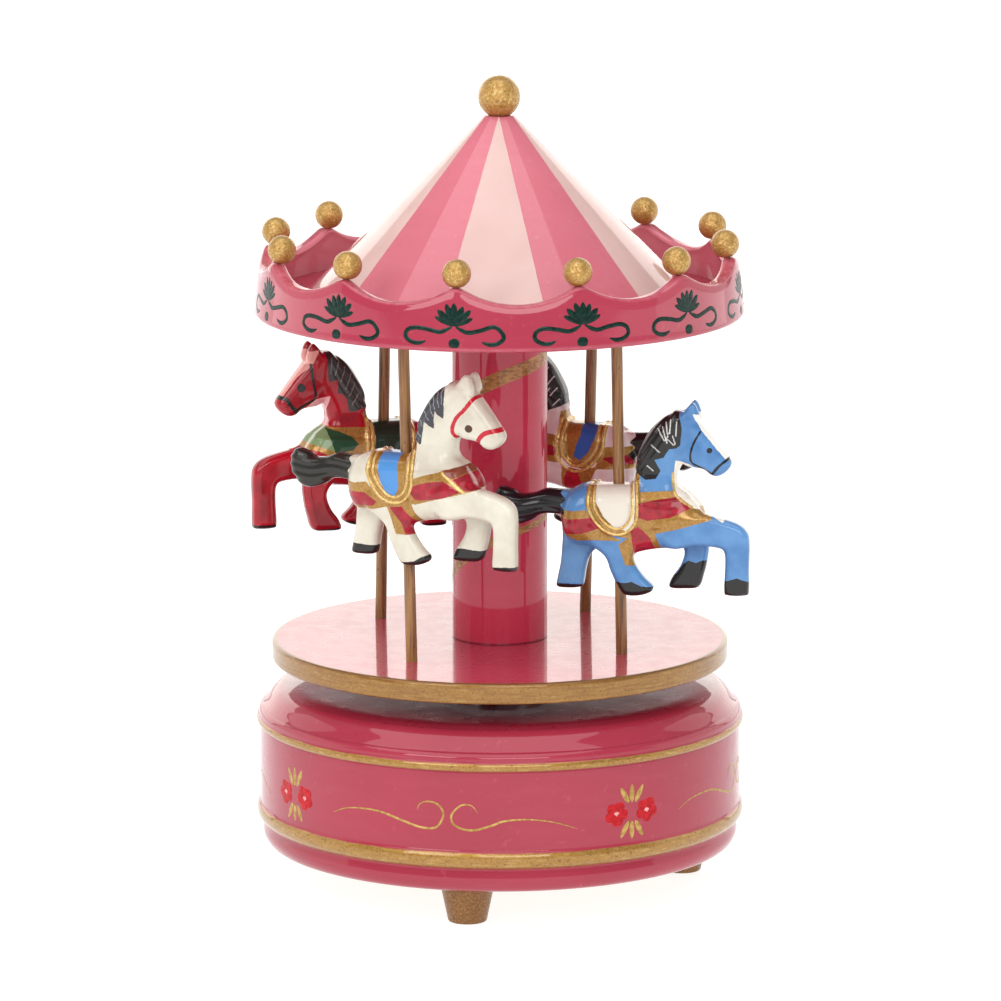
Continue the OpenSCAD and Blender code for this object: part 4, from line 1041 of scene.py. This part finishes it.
def horse_finish(name, tones):
    """Enamel laid in layers: each layer's edge follows its own distance, roughened a little."""
    f = Finish(name, Coat_Weight=0.6, Coat_Roughness=0.06, Specular_IOR_Level=0.2)
    tremble = f.wobble(0.9, 3, 0.28)
    wash = f.noise(6, 3)
    colour = f.mix(f.step(wash, 0.3, 0.7), tones["shade"], tones["coat"])
    metal, rough = 0.0, f.step(wash, 0.3, 0.7, 0.36, 0.24)
    gold_grain = f.noise(0.6, 4, 0.7)
    gold = f.mix(f.step(gold_grain, 0.25, 0.75), "94692E", "B98E48")
    bright = f.mix(f.step(gold_grain, 0.3, 0.7), "C0924A", "E8CC80")
    thick = f.noise(1.6, 3)
    crimson = f.mix(f.step(thick, 0.3, 0.7), "8C1424", "B01C30")
    paints = dict(tones, gold=gold, crimson=crimson, ridge=bright, line=bright, hooves="1D1B1A")
    shines = dict(gold=0.4, ridge=0.5, line=0.4)
    depth = f.mul(f.noise(2.2, 3), 0.5)
    for layer in ("chest_sheen", "blaze", "gold", "brown", "green", "crimson", "panel", "ridge", "line",
                  "tail", "mane", "stroke", "bridle", "eye", "hooves"):
        if layer not in paints:
            continue
        distance = f.add(f.attribute(layer), tremble if layer not in ("eye", "stroke") else 0.0)
        share = f.step(distance, -0.05, 0.05, 1.0, 0.0)
        colour = f.mix(share, colour, paints[layer])
        metal = f.blend(share, metal, shines.get(layer, 0.0))
        depth = f.blend(share, depth, f.add(depth, 0.25))
    f.relief(depth, 0.12)
    return f.surface(colour, rough, metal)


def pole_place(i, z):
    low = np.array([*around(POLE_CIRCLE, POLE_ANGLE + 90 * i), POLE_LOW])
    high = np.array([*around(POLE_CIRCLE, POLE_ANGLE + POLE_TWIST + 90 * i), POLE_HIGH])
    return low + (high - low) * (z - POLE_LOW) / (POLE_HIGH - POLE_LOW)


def horses():
    points, quads = surface_net(horse_field, (-28, -6.2, -25), (31, 6.2, 19.6), CELL)
    points = settle(points, horse_field)
    for i in range(4):
        style, slot, tones = STYLES[i + 1]
        turned = points @ np.array(Matrix.Rotation(math.radians(HEADING[i]), 3, "Z").transposed())
        enamel = horse_finish(f"enamel_{i + 1}", tones)
        made = solid(f"horse_moulded_{i + 1}", turned, quads.tolist(), [enamel])
        for layer, distance in paint_fields(style, *points.T).items():
            vertex_layer(made, layer, distance)
        place = (Vector(pole_place(i, SADDLE_Z[i])) + Vector((ASIDE[i], 0, 0))) * MM
        made.matrix_world = Matrix.Translation(place)
        put(made, "carousel", slot, f"horse_{i + 1}")


# ---- CAD nodes that stay ----

def kept_nodes():
    """Gives every CAD node that is still shown its own procedural finish."""
    finishes = {
        "steel": metal_finish("steel", "8A8A8C", "D2D2D4", 0.24, (1, 1, 6)),
        "dark_screw": metal_finish("dark_screw", "1E1A18", "4A423E", 0.34),
        "brass": metal_finish("brass", "8E6A2C", "D8B266", 0.26, (1, 1, 4)),
        "zinc": metal_finish("zinc", "86826F", "C4BFAE", 0.4, (1, 1, 2)),
        "nylon": paint_finish("nylon", "CFC9B8", "E4DFD0"),
        "bare_wood": board_finish(),
        "stained_dowel": dowel_finish(),
        "pink_lacquer": floor_finish(),
    }
    slots = {row["node"]: row["material_slot"] for row in frame["record"]["subparts"]}
    for name, node in frame["nodes"].items():
        if not node.hide_render:
            for k in range(max(1, len(node.material_slots))):
                if not node.material_slots:
                    node.data.materials.append(None)
                node.material_slots[k].material = finishes[slots[name]]


# ---- studio ----

def placed(name, data, place=(0, 0, 0)):
    """A new object in the scene, at a place in mm."""
    made = bpy.data.objects.new(name, data)
    bpy.context.scene.collection.objects.link(made)
    made.location = Vector(place) * MM
    return made


def lamp(name, place, aim, width, height, power, colour=(1, 1, 1)):
    data = bpy.data.lights.new(name, "AREA")
    data.shape, data.size, data.size_y = "RECTANGLE", width * MM, height * MM
    data.energy, data.color = power, colour
    made = placed(name, data, place)
    made.rotation_euler = (Vector(aim) - Vector(place)).to_track_quat("-Z", "Y").to_euler()


def studio():
    """A white tent: soft light from above, bright walls at the back and sides, a weak key in front."""
    world = bpy.data.worlds.new("studio")
    world.use_nodes = True
    light = world.node_tree.nodes["Background"].inputs
    light["Color"].default_value, light["Strength"].default_value = (1, 1, 1, 1), 0.3
    bpy.context.scene.world = world
    middle, warm = (0, 0, 95), (1, 0.95, 0.89)
    lamp("key", (-520, -760, 520), middle, 420, 420, 2.4)
    lamp("front", (160, -1300, 640), middle, 800, 460, 5.2)
    lamp("back_wall", (0, 1750, 560), (0, 0, 300), 3400, 1000, 18, warm)
    lamp("left_wall", (-1000, 250, 380), (0, 0, 200), 1100, 760, 2.3, warm)
    lamp("right_wall", (1000, 250, 380), (0, 0, 200), 1100, 760, 2.3, warm)
    sky = bpy.data.lights.new("sky", "SUN")
    sky.energy, sky.angle = 1.7, math.radians(70)
    placed("sky", sky).rotation_euler = (math.radians(10), math.radians(-6), 0)


def studio_floor():
    f = Finish("studio_floor")
    cloud = f.noise(300, 2)
    tone = f.mix(f.step(cloud, 0.2, 0.8), (0.32, 0.32, 0.32, 1), (0.34, 0.34, 0.34, 1))
    f.surface(tone, 0.8)
    f.shader.inputs["Emission Color"].default_value = (1, 1, 1, 1)
    f.shader.inputs["Emission Strength"].default_value = 0.86
    reach = 9000
    corners = [(x * reach, y * reach, 0) for x, y in ((-1, -1), (1, -1), (1, 1), (-1, 1))]
    solid("studio_floor", corners, [(0, 1, 2, 3)], [f.material])


def camera():
    """Far in front and a little above, with a long lens."""
    data = bpy.data.cameras.new("camera")
    data.lens, data.sensor_width = 269.56, 36
    data.clip_start, data.clip_end = 0.05, 60
    made = placed("camera", data, (0.56, -1625.3, 402.1))
    made.rotation_euler = (math.radians(90 - 11.03), math.radians(0.07), 0)
    bpy.context.scene.camera = made
    bpy.context.scene.view_settings.view_transform = "Standard"


for make in (camera, studio, studio_floor, base, platform, column, roof, crown, knobs, feet,
             crown_motifs, base_motifs, column_ribbon, horses, kept_nodes):
    make()
